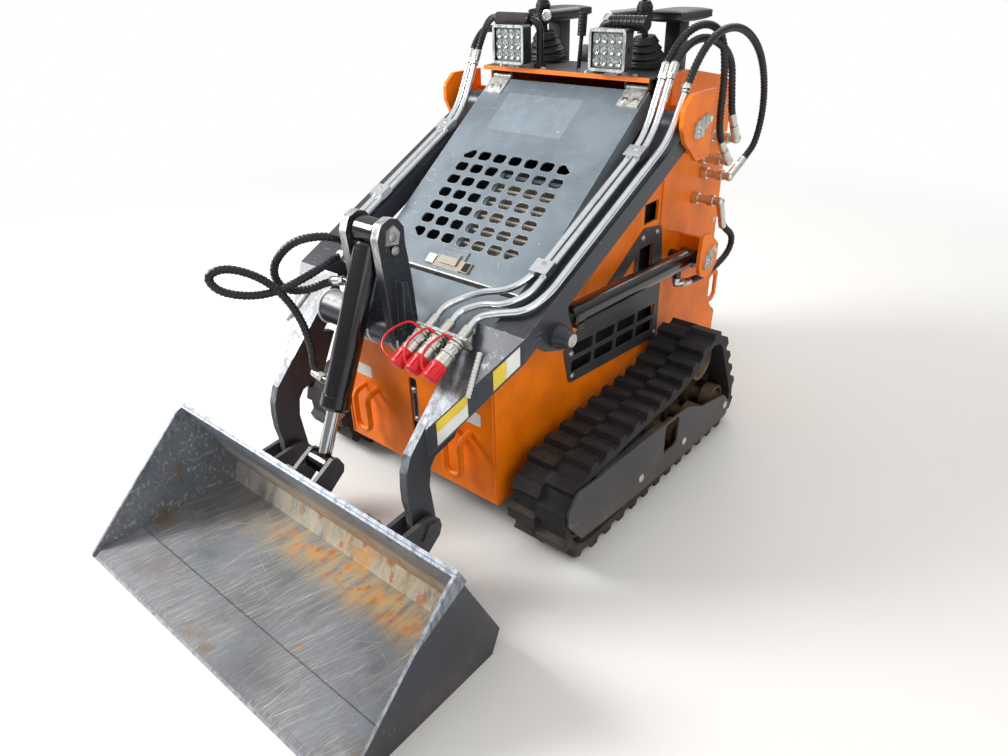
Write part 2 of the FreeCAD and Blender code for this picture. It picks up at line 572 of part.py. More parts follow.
row = pocket(hood, TOP, "-hood_skin", "0", *[grille_hole(column) for column in range(-3, 4)])
hood.Tip = row
doc.recompute()
upward = hood.newObject("PartDesign::LinearPattern", "GrilleRows")
upward.Originals = [row]
upward.Direction = (row.Profile[0], ["V_Axis"])
upward.Occurrences = 7
tie(upward, "Length", "6 * grille_pitch_u")
hood.Tip = upward
latch = block("HoodLatch", "-latch_wide / 2", "latch_wide / 2", "14", "14 + latch_long", "0", "5")
paddle = block("LatchPaddle", "-latch_wide / 2 + 16", "latch_wide / 2 - 16", "26", "62", "5", "11")
axis_u = "((hood_axis_y - hood_front_y) * cos(hood_slope) + (hood_axis_z - hood_front_z) * sin(hood_slope))"
axis_v = "((hood_axis_z - hood_front_z) * cos(hood_slope) - (hood_axis_y - hood_front_y) * sin(hood_slope))"
hood_parts = [hood, latch, paddle]
for number, middle in enumerate(("-hinge_x", "hinge_x")):
    low = "%s - hinge_half" % middle
    high = "%s + hinge_half" % middle
    hood_parts.append(block("HingeLeaf%d" % number, low, high, "hood_long - 64", axis_u, "0", "4"))
    hood_parts.append(bar("HingeKnuckle%d" % number, "x", low, high, axis_u, axis_v, "hinge_pin"))
hood_set = join("HoodSet", *hood_parts)
place(hood_set, "0", "hood_front_y", "hood_front_z", "hood_slope")
node(hood_set, "hood")

# Vent plates
vent = plate("VentPlate", SIDE, "panel_face", "panel_face + vent_thick", [
    ("vent_knee_y", "vent_low_z"), ("vent_rear", "vent_rear_low"), ("vent_rear - 5", 572),
    ("vent_rear - 21", 696), ("vent_corner_y", "vent_corner_z"), ("vent_peak_y", "vent_peak_z"),
    ("vent_front", "vent_nose_z"),
])
soften(vent, SIDE, "16", [
    ("vent_knee_y", "vent_low_z"), ("vent_rear", "vent_rear_low"),
    ("vent_peak_y", "vent_peak_z"), ("vent_front", "vent_nose_z"),
])


def vent_slot(column, line):
    spot = slanted("slot_start_y", "slot_start_z", "slot_tilt")
    left = "(%d * (slot_long + slot_gap))" % column
    low = "(%d * (slot_rise + slot_row_gap))" % line
    return [
        spot(left + " + 4", low), spot(left + " + slot_long - 4", low),
        spot(left + " + slot_long", low + " + 4"), spot(left + " + slot_long", low + " + slot_rise - 4"),
        spot(left + " + slot_long - 4", low + " + slot_rise"), spot(left + " + 4", low + " + slot_rise"),
        spot(left, low + " + slot_rise - 4"), spot(left, low + " + 4"),
    ]


pocket(vent, SIDE, "panel_face", "panel_face + vent_thick",
       *[vent_slot(column, line) for line in range(2) for column in range(4)])
pocket(vent, SIDE, "panel_face", "panel_face + vent_thick", [
    ("rect_vent_y", "rect_vent_z"), ("rect_vent_y + rect_vent_wide", "rect_vent_z"),
    ("rect_vent_y + rect_vent_wide", "rect_vent_z + rect_vent_tall"),
    ("rect_vent_y", "rect_vent_z + rect_vent_tall"),
], [
    ("tri_vent_y", "tri_vent_z"), ("tri_vent_y + tri_vent_long", "tri_vent_z"),
    ("tri_vent_y + tri_vent_long", "tri_vent_z + tri_vent_tall"),
])
node(vent, "vent_plate_left")
node(flip("VentPlateRight", vent), "vent_plate_right")

# Operator's platform and pad
deck = plate("Platform", TOP, "platform_low", "platform_low + platform_thick", [
    ("-platform_half", "frame_rear"), ("platform_half", "frame_rear"),
    ("platform_half", "platform_rear"), ("-platform_half", "platform_rear"),
])
soften(deck, TOP, "platform_corner", [("platform_half", "platform_rear"),
    ("-platform_half", "platform_rear")])
pocket(deck, TOP, "platform_low", "platform_low + platform_thick - 6", [
    ("-platform_half + 10", "frame_rear + 20"), ("platform_half - 10", "frame_rear + 20"),
    ("platform_half - 10", "platform_rear - platform_corner"), ("platform_half - 60", "platform_rear - 18"),
    ("-platform_half + 60", "platform_rear - 18"), ("-platform_half + 10", "platform_rear - platform_corner"),
])
row = pocket(deck, TOP, "platform_low", "platform_low + platform_thick", *[
    (column * 60, "frame_rear + 60", 15) for column in range(-3, 4)])
deck.Tip = row
doc.recompute()
treads = deck.newObject("PartDesign::LinearPattern", "TreadHoles")
treads.Originals = [row]
treads.Direction = (row.Profile[0], ["V_Axis"])
treads.Occurrences = 4
tie(treads, "Length", "platform_rear - frame_rear - 60 - platform_corner")
deck.Tip = treads
kick = plate("KickPlate", FRONT, "frame_rear", "frame_rear + 6", [
    ("-platform_half", "platform_low + platform_thick"), ("platform_half", "platform_low + platform_thick"),
    ("platform_half", "kick_high"), ("-platform_half", "kick_high"),
])
node(join("PlatformSet", deck, kick), "platform")
cushion = plate("ThighPad", FRONT, "frame_rear", "frame_rear + pad_thick", [
    ("-pad_half", "pad_low"), ("pad_half", "pad_low"), ("pad_half", "pad_high"), ("-pad_half", "pad_high"),
])
soften(cushion, FRONT, "45", [
    ("-pad_half", "pad_low"), ("pad_half", "pad_low"), ("pad_half", "pad_high"), ("-pad_half", "pad_high"),
])
node(cushion, "thigh_pad")

# Lights, grip bars, hand controls
lamp_parts = []
for number, hand in enumerate(("-1", "1")):
    middle = "(%s * light_x)" % hand
    half = "light_wide / 2"
    low = "(light_z - light_tall / 2)"
    high = "(light_z + light_tall / 2)"
    case = plate("LampCase%d" % number, FRONT, "light_y - light_deep / 2", "light_y + light_deep / 2", [
        ("%s - %s" % (middle, half), low), ("%s + %s" % (middle, half), low),
        ("%s + %s" % (middle, half), high), ("%s - %s" % (middle, half), high),
    ])
    soften(case, FRONT, "12", [
        ("%s - %s" % (middle, half), low), ("%s + %s" % (middle, half), low),
        ("%s + %s" % (middle, half), high), ("%s - %s" % (middle, half), high),
    ])
    pocket(case, FRONT, "light_y - light_deep / 2", "light_y - light_deep / 2 + 10", [
        ("%s - %s + light_frame" % (middle, half), low + " + light_frame"),
        ("%s + %s - light_frame" % (middle, half), low + " + light_frame"),
        ("%s + %s - light_frame" % (middle, half), high + " - light_frame"),
        ("%s - %s + light_frame" % (middle, half), high + " - light_frame"),
    ])
    foot = block("LampFoot%d" % number, middle + " - 20", middle + " + 20", "console_ledge", "light_y + 36",
                 "console_high", "console_high + 5")
    stem = block("LampStem%d" % number, middle + " - 15", middle + " + 15", "light_y + 9", "light_y + 15",
                 "console_high", low + " + 1")
    lamp_parts += [case, foot, stem]
node(join("WorkLights", *lamp_parts), "work_lights")

bars = []
for hand in (-1, 1):
    post = value("grip_post_x") * hand
    out = value("grip_end") * hand
    y = value("grip_y")
    top = value("grip_top")
    bars.append(tube([(post, y, "console_high"), (post, y, top), (out, y - 12, top + 3)], "grip_rod", 0.24))
    bars.append(rod_between((post + 34 * hand, y - 3, top + 1), (out, y - 12, top + 3), "grip_foam"))
    bars.append(rod_between((post, y, "console_high"), (post, y, "console_high + 10"), 19))
merged = bars[0]
for shape in bars[1:3]:
    merged = merged.fuse(shape)
other = bars[3]
for shape in bars[4:]:
    other = other.fuse(shape)
node(fixed_shape("GripBars", Part.makeCompound([merged, other])), "grip_bars")

stick_parts = []
for number, hand in enumerate(("-1", "1")):
    boot = revolve("StickBoot%d" % number, "y", [
        ("0", "0"), ("boot_radius + 10", "0"), ("boot_radius + 10", "8"), ("boot_radius", "8"),
        ("boot_radius - 4", "20"), ("boot_radius - 2", "26"), ("boot_radius - 12", "38"),
        ("boot_radius - 9", "44"), ("boot_radius - 20", "56"), ("boot_radius - 17", "62"),
        ("boot_radius - 28", "boot_high"), ("0", "boot_high"),
    ])
    grip = revolve("StickGrip%d" % number, "y", [
        ("0", "boot_high - 6"), ("9", "boot_high - 6"), ("9", "boot_high + 20"),
        ("stick_radius - 4", "boot_high + 26"), ("stick_radius", "boot_high + 50"),
        ("stick_radius + 2", "stick_high - 14"),
        ("stick_radius - 5", "stick_high"), ("0", "stick_high"),
    ])
    stick = join("Stick%d" % number, boot, grip)
    place(stick, "%s * boot_x" % hand, "boot_y", "console_high + 10", "98")
    stick_parts.append(stick)
lever = rod_between((0, "throttle_y", "console_high + 0.8"), (4, "throttle_y + 6", "throttle_high - 62"), 6)
knob = rod_between((4, "throttle_y + 6", "throttle_high - 62"), (5, "throttle_y + 10", "throttle_high"), 13)
stick_parts.append(fixed_shape("Throttle", lever.fuse(knob)))
node(join("HandControls", *stick_parts), "hand_controls")


def console_line(y):
    """The height of the console's slope at a depth, as an expression."""
    slope = "(console_high - shoulder_z) / (shoulder_y - console_back)"
    return "console_high - (%s - console_back) * %s" % (y, slope)


rests = []
for number, hand in enumerate((-1, 1)):
    pad_body = plate("RestPad%d" % number, TOP, "rest_z", "rest_z + rest_thick", [
        ("%d * (rest_x - rest_wide / 2)" % hand, "rest_y"),
        ("%d * (rest_x + rest_wide / 2)" % hand, "rest_y"),
        ("%d * (rest_x + rest_wide / 2)" % hand, "rest_y + rest_long"),
        ("%d * (rest_x - rest_wide / 2)" % hand, "rest_y + rest_long"),
    ])
    soften(pad_body, TOP, "28", [
        ("%d * (rest_x - rest_wide / 2)" % hand, "rest_y"),
        ("%d * (rest_x + rest_wide / 2)" % hand, "rest_y"),
        ("%d * (rest_x + rest_wide / 2)" % hand, "rest_y + rest_long"),
        ("%d * (rest_x - rest_wide / 2)" % hand, "rest_y + rest_long"),
    ])
    leg = plate("RestLeg%d" % number, SIDE, "%d * rest_x - 25" % hand, "%d * rest_x + 25" % hand, [
        ("rest_y + 60", console_line("rest_y + 60")), ("rest_y + 120", console_line("rest_y + 120")),
        ("rest_y + 120", "rest_z"), ("rest_y + 60", "rest_z")])
    handle = bar("RestBar%d" % number, "y", "rest_y - 122", "rest_y + 40", "%d * 108" % hand,
        "rest_z + 22", 17)
    arm_rod = bar("RestRod%d" % number, "x", "%s" % ("108" if hand > 0 else "-rest_x"),
                  "%s" % ("rest_x" if hand > 0 else "-108"), "rest_y + 20", "rest_z + 20", 12)
    rests += [pad_body, leg, handle, arm_rod]
node(join("ArmRests", *rests), "armrests")

# Crawler tracks
track_mid = "((track_in + track_out) / 2)"
inner_drop = value("belt_thick + lug_high")
FRONT_WHEEL = (value("front_wheel_y"), value("front_wheel_z"), value("front_wheel_z") - inner_drop)
REAR_WHEEL = (value("rear_wheel_y"), value("rear_wheel_z"), value("rear_wheel_z") - inner_drop)
DRIVE_WHEEL = (value("drive_y"), value("drive_z"), value("drive_tip") - inner_drop)


def outer_tangent(one, two):
    """Touching points of the belt that runs from one wheel to the next, counter-clockwise."""
    y0, z0, r0 = one
    y1, z1, r1 = two
    gap = math.hypot(y1 - y0, z1 - z0)
    along = math.atan2(z1 - z0, y1 - y0)
    lean = math.acos((r0 - r1) / gap)
    angle = along - lean
    start = (y0 + r0 * math.cos(angle), z0 + r0 * math.sin(angle), angle)
    finish = (y1 + r1 * math.cos(angle), z1 + r1 * math.sin(angle), angle)
    return start, finish


def arc_points(wheel, start, finish, steps):
    y, z, radius = wheel
    while finish < start:
        finish += 2 * math.pi
    return [(y + radius * math.cos(start + (finish - start) * i / steps),
             z + radius * math.sin(start + (finish - start) * i / steps)) for i in range(steps + 1)]


def bend_points(a, b, c, d, steps):
    result = []
    for i in range(1, steps):
        t = i / steps
        w = ((1 - t) ** 3, 3 * t * (1 - t) ** 2, 3 * t * t * (1 - t), t ** 3)
        result.append(tuple(w[0] * a[k] + w[1] * b[k] + w[2] * c[k] + w[3] * d[k] for k in (0, 1)))
    return result


def track_path():
    """The belt's inner line, counter-clockwise from the front wheel's foot."""
    floor_start, floor_end = outer_tangent(FRONT_WHEEL, REAR_WHEEL)
    rise_start, rise_end = outer_tangent(REAR_WHEEL, DRIVE_WHEEL)
    sag = (value("sag_y"), value("sag_z") - inner_drop)
    leave = math.radians(118)
    lay = math.radians(93)
    points = arc_points(REAR_WHEEL, floor_end[2], rise_start[2], 24)
    points += arc_points(DRIVE_WHEEL, rise_end[2], leave, 24)
    top = points[-1]
    landing = (FRONT_WHEEL[0] + FRONT_WHEEL[2] * math.cos(lay),
        FRONT_WHEEL[1] + FRONT_WHEEL[2] * math.sin(lay))
    fall = (-math.sin(leave), math.cos(leave))
    points += bend_points(top, (top[0] + 110 * fall[0], top[1] + 110 * fall[1]), (sag[0] + 90, sag[1] - 2),
        sag, 24)
    points.append(sag)
    points += bend_points(sag, (sag[0] - 80, sag[1] + 2), (landing[0] + 120, landing[1] + 8), landing, 24)
    points += arc_points(FRONT_WHEEL, lay, floor_start[2] + 2 * math.pi, 32)
    points.append(points[0])
    return points


def walk(path, distance):
    """The point and the outward direction at a distance along the path."""
    total = sum(math.dist(a, b) for a, b in zip(path, path[1:]))
    left = distance % total
    for a, b in zip(path, path[1:]):
        step = math.dist(a, b)
        if left <= step and step > 0:
            share = left / step
            tangent = ((b[0] - a[0]) / step, (b[1] - a[1]) / step)
            return a[0] + share * (b[0] - a[0]), a[1] + share * (b[1] - a[1]), tangent
        left -= step
    return path[0][0], path[0][1], (1, 0)


def track_strip(path, low, high, phase, guides):
    """One strip of the belt with its blocks outside and, in the middle, its guides inside."""
    total = sum(math.dist(a, b) for a, b in zip(path, path[1:]))
    count = int(value("lug_count"))
    pitch = total / count
    belt = value("belt_thick")
    full = belt + value("lug_high")

    def spot(distance, lift):
        back = walk(path, distance - pitch * 0.12)
        ahead = walk(path, distance + pitch * 0.12)
        here = walk(path, distance)
        across = math.dist(back[:2], ahead[:2])
        tangent = ((ahead[0] - back[0]) / across, (ahead[1] - back[1]) / across)
        return Vector(0, here[0] + lift * tangent[1], here[1] - lift * tangent[0])

    outside = []
    inside = []
    for i in range(count):
        for share, lift in ((0.06, belt), (0.16, full), (0.52, full), (0.62, belt)):
            outside.append(spot((i + share + phase) * pitch, lift))
        if guides:
            for share, lift in ((0.08, 0), (0.16, -value("guide_high")), (0.40, -value("guide_high")),
                (0.48, 0)):
                inside.append(spot((i + share) * pitch, lift))
        else:
            inside.append(spot((i + 0.08) * pitch, 0))
            inside.append(spot((i + 0.48) * pitch, 0))
    outer = Part.Face(Part.makePolygon(outside + [outside[0]]))
    inner_face = Part.Face(Part.makePolygon(inside + [inside[0]]))
    ring = outer.cut(inner_face)
    ring.translate(Vector(low, 0, 0))
    return ring.extrude(Vector(high - low, 0, 0)).Solids[0]


path = track_path()
edge_in = value("track_in")
edge_out = value("track_out")
middle = value(track_mid)
guide = value("guide_half")
belt = track_strip(path, edge_in, middle - guide, 0, False)
for low, high, phase, guides in ((middle - guide, middle, 0, True), (middle, middle + guide, 0.5, True),
                                 (middle + guide, edge_out, 0.5, False)):
    belt = belt.fuse(track_strip(path, low, high, phase, guides))
belt = belt.removeSplitter()
track = node(fixed_shape("Track", belt.Solids[0] if len(belt.Solids) == 1 else belt), "track_left")
node(flip("TrackRight", track), "track_right")


def wheel(name, y, z, rim_radius, hub_radius):
    """Two rims with a groove for the guides between them, turned about the axle."""
    gap = "(guide_half + 5)"
    half = "(guide_half + 5 + wheel_rim)"
    body = revolve(name, "x", [
        ("-%s" % half, "axle_radius + 0.5"), ("-%s" % half, rim_radius), ("-%s" % gap, rim_radius),
        ("-%s" % gap, hub_radius), (gap, hub_radius), (gap, rim_radius), (half, rim_radius),
        (half, rim_radius + " - 9"), (gap + " + 16", rim_radius + " - 14"),
        (gap + " + 16", "axle_radius + 16"), (half + " - 4", "axle_radius + 14"),
        (half + " - 4", "axle_radius + 0.5"),
    ])
    return place(body, track_mid, y, z)


big = "(front_wheel_z - belt_thick - lug_high - wheel_gap)"
small = "(rear_wheel_z - belt_thick - lug_high - wheel_gap)"
roller = "(rear_wheel_z - 4 - belt_thick - lug_high - wheel_gap)"
wheels = [wheel("FrontIdler", "front_wheel_y", "front_wheel_z", big, big + " - guide_high - 6"),
          wheel("RearIdler", "rear_wheel_y", "rear_wheel_z", small, "axle_radius + 8")]
for number in range(int(value("roller_count"))):
    wheels.append(wheel("Roller%d" % number, "roller_first + %d * roller_pitch" % number, "rear_wheel_z - 4",
                        roller, "axle_radius + 8"))
carrier = bar("CarrierRoller", "x", track_mid + " - 55", track_mid + " + 55", "sag_y - 110",
              "sag_z - belt_thick - lug_high - guide_high - 28", "22")
wheels.append(carrier)
sprocket_disc = "(drive_tip - belt_thick - lug_high - wheel_gap)"
sprocket = revolve("DriveSprocket", "x", [
    ("-(guide_half + 34)", "0"), ("-(guide_half + 34)", sprocket_disc), ("-(guide_half + 5)", sprocket_disc),
    ("-(guide_half + 5)", sprocket_disc + " - guide_high - 4"),
    ("guide_half + 5", sprocket_disc + " - guide_high - 4"),
    ("guide_half + 5", sprocket_disc), ("guide_half + 34", sprocket_disc),
    ("guide_half + 34", sprocket_disc + " - 12"),
    ("guide_half + 20", sprocket_disc + " - 16"), ("guide_half + 20", "24"), ("guide_half + 30", "20"),
    ("guide_half + 30", "0"),
])
place(sprocket, track_mid, "drive_y", "drive_z")
wheels.append(sprocket)
wheel_set = join("TrackWheels", *wheels)
node(wheel_set, "track_wheels_left")
node(flip("TrackWheelsRight", wheel_set), "track_wheels_right")

# track frame: two legs from the chassis, a beam above the rollers, axles and the outer cover
frame_parts = [
    block("TrackBeam", "track_in + 6", "track_in + 18", "front_wheel_y + 60", "rear_wheel_y - 40",
    "beam_low + 28", "beam_high"),
    block("LegFront", "panel_face", "track_in + 6", "leg_front", "leg_front + leg_wide", "beam_low + 28",
    "beam_high"),
    block("LegRear", "panel_face", "track_in + 6", "leg_rear", "leg_rear + leg_wide", "beam_low + 28",
    "beam_high"),
    bar("DriveMotor", "x", "panel_face + 16", track_mid + " - guide_half - 34.3", "drive_y", "drive_z", "46"),
    bar("DriveFlange", "x", "panel_face", "panel_face + 16", "drive_y", "drive_z", "28"),
    block("CarrierPost", "track_in + 6", "track_in + 18", "sag_y - 122", "sag_y - 98", "beam_high",
    "sag_z - 76"),
    bar("CarrierAxle", "x", "track_in + 6", track_mid + " - 55", "sag_y - 110",
        "sag_z - belt_thick - lug_high - guide_high - 28", "10"),
]
axles = [("front_wheel_y", "front_wheel_z"), ("rear_wheel_y", "rear_wheel_z")]
axles += [("roller_first + %d * roller_pitch" % number,
    "rear_wheel_z - 4") for number in range(int(value("roller_count")))]
for number, (y, z) in enumerate(axles):
    frame_parts.append(bar("Axle%d" % number, "x", "track_in + 6", "cover_in", y, z, "axle_radius"))
inner_rail = plate("InnerRail", SIDE, "track_in + 6", "track_in + 18", [
    ("front_wheel_y - 26", "front_wheel_z - 26"), ("rear_wheel_y + 26", "rear_wheel_z - 22"),
    ("rear_wheel_y + 26", "rear_wheel_z + 24"), ("front_wheel_y + 60", "beam_high - 20"),
    ("front_wheel_y - 26", "front_wheel_z + 34"),
])
cover = plate("TrackCover", SIDE, "cover_in", "cover_in + cover_thick", [
    (-377, 168), (-313, 86), (-105, 61), (131, 44), (403, 32), (571, 34), (597, 70),
    (540, 129), (444, 152), (368, 169), (291, 207), (253, 219), (-17, 237), (-223, 243),
    (-339, 252), (-377, 204),
])
pocket(cover, SIDE, "cover_in", "cover_in + cover_thick", [(120, 116), (205, 112), (205, 216), (120, 220)])
soften(cover, SIDE, "14", [(-377, 204), (-339, 252), (-377, 168), (571, 34), (597, 70)])
soften(cover, SIDE, "12", [(120, 116), (205, 112), (205, 216), (120, 220)])
flange = plate("CoverFlange", SIDE, "cover_in - cover_lip", "cover_in", [
    (-240, 238), (-240, 244), (-223, 243), (-17, 237), (118, 228.8), (118, 223), (-17, 231), (-223, 237),
])
frame_parts += [inner_rail, cover, flange]
frame_set = join("TrackFrame", *frame_parts)
node(frame_set, "track_frame_left")
node(flip("TrackFrameRight", frame_set), "track_frame_right")

# Loader arms
beam = plate("ArmBeam", SIDE, "arm_in", "arm_out", [
    ("arm_joint_y", "arm_joint_low"), ("lift_pivot_y + 12", "arm_rear_low"),
    ("lift_pivot_y + 12", "arm_rear_high"), ("arm_joint_y", "arm_joint_high"),
])
pad(beam, SIDE, "arm_in", "arm_out", ("lift_pivot_y", "lift_pivot_z", "hub_radius"))
neck = plate("ArmNeck", SIDE, "neck_in", "neck_in + neck_thick", [
    (-520, 549), (-593, 489), (-652, 429), (-670, 385), (-674, 340), (-674, 300), (-667, 262),
    ("bucket_pin_y - neck_end + 1", "bucket_pin_z + 6"),
    ("bucket_pin_y - neck_end + 12", "bucket_pin_z - neck_end + 12"),
    ("bucket_pin_y", "bucket_pin_z - neck_end"),
    ("bucket_pin_y + neck_end - 12", "bucket_pin_z - neck_end + 12"),
    ("bucket_pin_y + neck_end - 1", "bucket_pin_z + 6"),
    (-600, 314), (-591, 364), (-574, 386), (-502, 405), (-440, 520),
])
soften(neck, SIDE, "16", [
    ("bucket_pin_y - neck_end + 12", "bucket_pin_z - neck_end + 12"),
    ("bucket_pin_y", "bucket_pin_z - neck_end"),
    ("bucket_pin_y + neck_end - 12", "bucket_pin_z - neck_end + 12"),
])


def wedge_shape():
    """The end of the arm narrows from the beam's full width to the neck plate."""
    rings = []
    for y, x0, x1, low, high in (
            ("arm_joint_y", "neck_in", "arm_out", "arm_joint_low", "arm_joint_high"),
            ("wedge_y", "neck_in", "wedge_out", "wedge_low", "wedge_high")):
        corners = [(x0, low), (x1, low), (x1, high), (x0, high)]
        spots = [Vector(value(a), value(y), value(b)) for a, b in corners]
        rings.append(Part.makePolygon(spots + [spots[0]]))
    return Part.makeLoft(rings, True, True)


wedge = fixed_shape("ArmWedge", wedge_shape())
BRACKET = [(-232, 704), (-227, 673), (-206, 628), (-208, 595), (-243, 588), (-324, 616), (-363, 646),
    (-340, 690)]
fork_out = plate("RodForkOuter", SIDE, "arm_out - fork_thick", "arm_out", BRACKET)
fork_in = plate("RodForkInner", SIDE, "arm_in", "arm_in + fork_thick", BRACKET)
for body in (fork_out, fork_in):
    soften(body, SIDE, "18", [(-206, 628), (-208, 595), (-243, 588)])
boss = revolve("RodBoss", "x", [
    ("arm_out", "0"), ("arm_out", "32"), ("arm_out + 6", "32"), ("arm_out + 40", "21"),
    ("arm_out + 46", "18"),
    ("arm_out + 46", "9"), ("arm_out + 30", "9"), ("arm_out + 30", "0"),
])
place(boss, "0", "rod_pin_y", "rod_pin_z")
hub_pin = bar("HubPin", "x", "panel_face + doubler_thick + pin_gap", "ear_face - ear_thick - pin_gap",
              "lift_pivot_y", "lift_pivot_z", "pin_radius + 8")
neck_pin = bar("NeckPin", "x", "lug_in + lug_thick + pin_gap", "lug_out - pin_gap", "bucket_pin_y",
    "bucket_pin_z",
               "pin_radius + 6")
slot_tool = block("BeamClearance", "arm_in + fork_thick", "arm_out - fork_thick", "-330", "-190", "520",
    "rod_pin_z + 34")
arm_solid = join("ArmSolid", beam, neck, wedge, fork_out, fork_in, boss, hub_pin, neck_pin)
arm = cut("LoaderArm", arm_solid, slot_tool)
node(arm, "arm_left")
node(flip("LoaderArmRight", arm), "arm_right")

# cross member with the two plates that carry the tilt cylinder, and the coupler bracket
arm_lean = "27"
along_arm = slanted("lift_pivot_y", "lift_pivot_z", "(180 + %s)" % arm_lean)
cross_box = bar("CrossTube", "x", "-neck_in", "neck_in", "cross_y", "cross_z", "cross_radius")
MAST = [(-488, 592), (-402, 592), (-413, 760), (-425, 850), ("tilt_top_y + 42", "tilt_top_z + 14"),
        ("tilt_top_y + 24", "tilt_top_z + 38"), ("tilt_top_y", "tilt_top_z + mast_end"),
        ("tilt_top_y - 30", "tilt_top_z + 34"), ("tilt_top_y - 45", "tilt_top_z"), (-505, 800)]
cross_parts = [cross_box]
for number, hand in enumerate((-1, 1)):
    low = "mast_in" if hand > 0 else "-mast_in - mast_thick"
    high = "mast_in + mast_thick" if hand > 0 else "-mast_in"
    ear_plate = plate("TiltEar%d" % number, SIDE, low, high, MAST)
    soften(ear_plate, SIDE, "14", [("tilt_top_y + 24", "tilt_top_z + 38"),
        ("tilt_top_y", "tilt_top_z + mast_end"),
                                   ("tilt_top_y - 30", "tilt_top_z + 34"), ("tilt_top_y - 45", "tilt_top_z")])
    low = "mast_in + mast_thick" if hand > 0 else "-mast_in - mast_thick - 5"
    high = "mast_in + mast_thick + 5" if hand > 0 else "-mast_in - mast_thick"
    keeper = plate("TiltKeeper%d" % number, SIDE, low, high, [
        ("tilt_top_y - 22", "tilt_top_z - 16"), ("tilt_top_y + 16", "tilt_top_z - 22"),
        ("tilt_top_y + 24", "tilt_top_z + 6"), ("tilt_top_y + 8", "tilt_top_z + 26"),
        ("tilt_top_y - 16", "tilt_top_z + 18")])
    rib = plate("TiltRib%d" % number, SIDE, low, high + (" + 20" if hand > 0 else ""), [
        (-470, 640), (-440, 640), (-452, 760), (-468, 762)])
    cross_parts += [ear_plate, keeper, rib]
bracket = plate("CouplerBracket", SIDE, "cross_plate_in", "neck_in - 0.5", [
    along_arm("coupler_start", "16"), along_arm("coupler_start + 8", "16"),
    along_arm("coupler_start + 8", "-coupler_lift - 14"), along_arm("coupler_start", "-coupler_lift - 14")])
pad(bracket, SIDE, "neck_in - 0.5", "cross_plate_out", [
    along_arm("coupler_start", "-coupler_lift + 22"), along_arm("coupler_start + 8", "-coupler_lift + 22"),
    along_arm("coupler_start + 8", "-coupler_lift - 14"), along_arm("coupler_start", "-coupler_lift - 14")])
COUPLER_X = (165, 217, 275)
drills = [bar("CouplerHole%d" % number, "y", "coupler_start - 5", "coupler_start + 13", x, "-coupler_lift",
              "coupler_radius * 0.6 + 0.4") for number, x in enumerate(COUPLER_X)]
drill_set = join("CouplerHoles", *drills)
place(drill_set, "0", "lift_pivot_y", "lift_pivot_z", "180 + %s" % arm_lean)
cross_parts.append(cut("CouplerBracketDrilled", bracket, drill_set))
node(join("CrossMember", *cross_parts), "cross_member")


def on_arm(x, s, v):
    """A point given by its distance down the arm and its height above the arm's middle line."""
    lean = math.radians(180 + value(arm_lean))
    y = value("lift_pivot_y") + s * math.cos(lean) + v * math.sin(lean)
    z = value("lift_pivot_z") + s * math.sin(lean) - v * math.cos(lean)
    return (x, y, z)


coupler_parts = []
start = value("coupler_start")
radius = value("coupler_radius")
lift = value("coupler_lift")
for number, x in enumerate(COUPLER_X):
    body = None
    for low, high, share in ((-34, -1, 0.72), (-2, 10, 0.6), (9, 34, 0.74), (34, 56, 0.86), (56, 100, 1)):
        piece = rod_between(on_arm(x, start + low, lift), on_arm(x, start + high, lift), radius * share)
        body = piece if body is None else body.fuse(piece)
    coupler_parts.append(fixed_shape("Coupler%d" % number, body))
node(fixed_shape("Couplers", Part.makeCompound([item.Shape for item in coupler_parts])), "couplers")
for item in coupler_parts:
    doc.removeObject(item.Name)

# steel tubes along the arms
ends = [(on_arm(x, start - 74, lift), on_arm(x, start - 34.3, lift)) for x in COUPLER_X]
LEFT_TUBES = [
    [(335, 298, 1150), (335, 226, 1008), (335, -229, 779), (300, -300, 738), (215, -330, 722), *ends[0]],
    [(360, 300, 1152), (360, 228, 1010), (360, -306, 742), (318, -356, 722), (262, -362, 714), *ends[1]],
    [(405, 303, 1120), (405, 236, 1014), (405, -290, 750), (385, -352, 722), (320, -376, 709), *ends[2]],
]
tube_shapes = [tube(points, "tube_radius") for points in LEFT_TUBES]
tube_shapes += [tube([(-a, b, c) for a, b, c in points], "tube_radius") for points in (
    [(335, 298, 1150), (335, 226, 1008), (335, -229, 779), (300, -300, 738), (120, -352, 720),
    (100, -440, 800)],
    [(360, 300, 1152), (360, 228, 1010), (360, -260, 764), (300, -336, 724), (160, -366, 700),
    (125, -452, 770)])]
for x, y0, y1 in ((348, 147, 195), (348, -258, -210), (-348, 147, 195), (-348, -150, -102)):
    slope = math.tan(math.radians(value(arm_lean)))
    centre_y = (y0 + y1) / 2
    top = value("arm_joint_high") + (centre_y - value("arm_joint_y")) * 0.489
    clamp = Part.makeBox(52, 44, 20, Vector(-26, -22, 0))
    clamp.rotate(Vector(), Vector(1, 0, 0), 26)
    clamp.translate(Vector(x, centre_y, top + 14))
    tube_shapes.append(clamp)
node(fixed_shape("ArmTubes", Part.makeCompound(tube_shapes)), "arm_tubes")

LOOPS = [
    [(-99.9, -440.4, 800.3), (-92, -475.4, 832.1), (-104, -540, 862), (-160, -596, 848), (-207, -632, 780),
    (-196, -616, 718),
    (-146, -574, 716), (-104, -532, 740), (-59, -522, 748)],
    [(-124.8, -452.4, 770.2), (-111.3, -485.6, 797.4), (-128, -560, 764), (-182, -664, 722),
    (-226, -762, 748),
    (-242, -790, 800), (-212, -742, 818), (-180, -660, 764), (-146, -616, 676), (-112, -612, 580),
      (-104, -626, 515),
     (-59, -628, 511)],
]
node(fixed_shape("TiltHoses", Part.makeCompound([tube(points, "hose_radius") for points in LOOPS])),
    "tilt_hoses")


